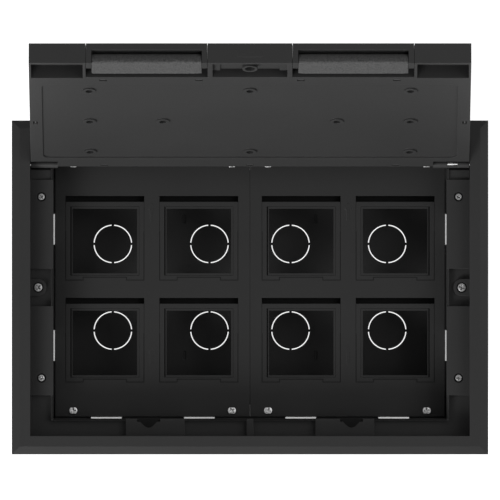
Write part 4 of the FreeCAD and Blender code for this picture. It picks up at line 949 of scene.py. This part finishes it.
# %% Brightness that is only seen, and lights nothing
def seen_directly(tree):
    """1 for rays from the camera, or by way of metal or glass, and 0 for rays that only carry light."""
    ray = add(tree, "ShaderNodeLightPath")
    direct = add(tree, "ShaderNodeMath", {0: ray.outputs["Is Camera Ray"], 1: ray.outputs["Is Glossy Ray"]},
                 operation="MAXIMUM")
    return add(tree, "ShaderNodeMath", {0: direct.outputs["Value"], 1: ray.outputs["Is Transmission Ray"]},
               operation="MAXIMUM").outputs["Value"]


print("seen directly: camera, glossy, transmission")

# %% [markdown]
# The rest of the floor's brightness is an ordinary matt surface, which keeps the object's soft shadow. The
# floor is one face, a hair below the box.

# %% Floor
FLOOR_HALF, FLOOR_DROP, FLOOR_GREY, FLOOR_GLOW = 3.0, 0.2 * MM, 0.34, 0.92
corner = np.array([-FLOOR_HALF, FLOOR_HALF])
across, along = np.meshgrid(corner, corner, indexing="ij")
floor_points = np.stack([across, along, np.full_like(across, -FLOOR_DROP)], axis=-1).reshape(-1, 3)
floor_mesh = bpy.data.meshes.new("studio_floor")
floor_mesh.from_pydata(floor_points.tolist(), [], [(0, 2, 3, 1)])
floor = bpy.data.objects.new("studio_floor", floor_mesh)
bpy.context.scene.collection.objects.link(floor)

pale = bpy.data.materials.new("pale_floor")
pale.use_nodes = True
tree = pale.node_tree
tree.nodes.clear()
glow_level = add(tree, "ShaderNodeMath", {0: seen_directly(tree), 1: FLOOR_GLOW}, operation="MULTIPLY")
matt = add(tree, "ShaderNodeBsdfDiffuse", {"Color": grey(FLOOR_GREY)})
glow = add(tree, "ShaderNodeEmission", {"Color": grey(1.0), "Strength": glow_level.outputs["Value"]})
both = add(tree, "ShaderNodeAddShader", {0: matt.outputs["BSDF"], 1: glow.outputs["Emission"]})
add(tree, "ShaderNodeOutputMaterial", {"Surface": both.outputs["Shader"]})
floor_mesh.materials.append(pale)
print("floor", 2 * FLOOR_HALF, "m wide")

# %% [markdown]
# One large soft lamp hangs to the front left, so the left and front walls of the tub shade its floor and
# the lid's face is well lit. A weaker one from the right keeps the shadows open.

# %% Lamps
def soft_lamp(name, place, aim, width, power):
    """A square lamp that is tilted from straight down, and then turned about Z, until it faces aim."""
    data = bpy.data.lights.new(name, "AREA")
    data.shape, data.size, data.energy = "SQUARE", width, power
    lamp = bpy.data.objects.new(name, data)
    lamp.location = place
    towards = np.array(aim, float) - np.array(place, float)
    flat = math.hypot(towards[0], towards[1])
    tilt, heading = math.atan2(flat, -towards[2]), math.atan2(towards[1], towards[0])
    lamp.rotation_euler = (tilt, 0.0, heading - math.pi / 2)
    bpy.context.scene.collection.objects.link(lamp)
    return lamp


key_lamp = soft_lamp("key_lamp", place=(-1.0, -1.4, 1.3), aim=(0.0, 0.05, 0.1), width=0.95, power=60.0)
fill_lamp = soft_lamp("fill_lamp", place=(1.2, 0.2, 1.7), aim=(0.0, 0.0, 0.1), width=1.2, power=13.0)
print("lamps", key_lamp.name, fill_lamp.name)

# %% [markdown]
# A pale world fills the rest. It is white only where it is seen directly, as the floor is, and dimmer for
# the light that it sends. Lamps and world together bring a colour out about as bright as it was written.

# %% World
ROOM_LEVEL = 0.34
world = bpy.data.worlds.new("pale_room")
world.use_nodes = True
seen = seen_directly(world.node_tree)
strength = add(world.node_tree, "ShaderNodeMath", {0: seen, 1: 1.0 - ROOM_LEVEL, 2: ROOM_LEVEL},
               operation="MULTIPLY_ADD")
background = world.node_tree.nodes["Background"]
background.inputs["Color"].default_value = grey(1.0)
world.node_tree.links.new(strength.outputs["Value"], background.inputs["Strength"])
bpy.context.scene.world = world
bpy.context.scene.view_settings.view_transform = "Standard"
print("room level", ROOM_LEVEL)
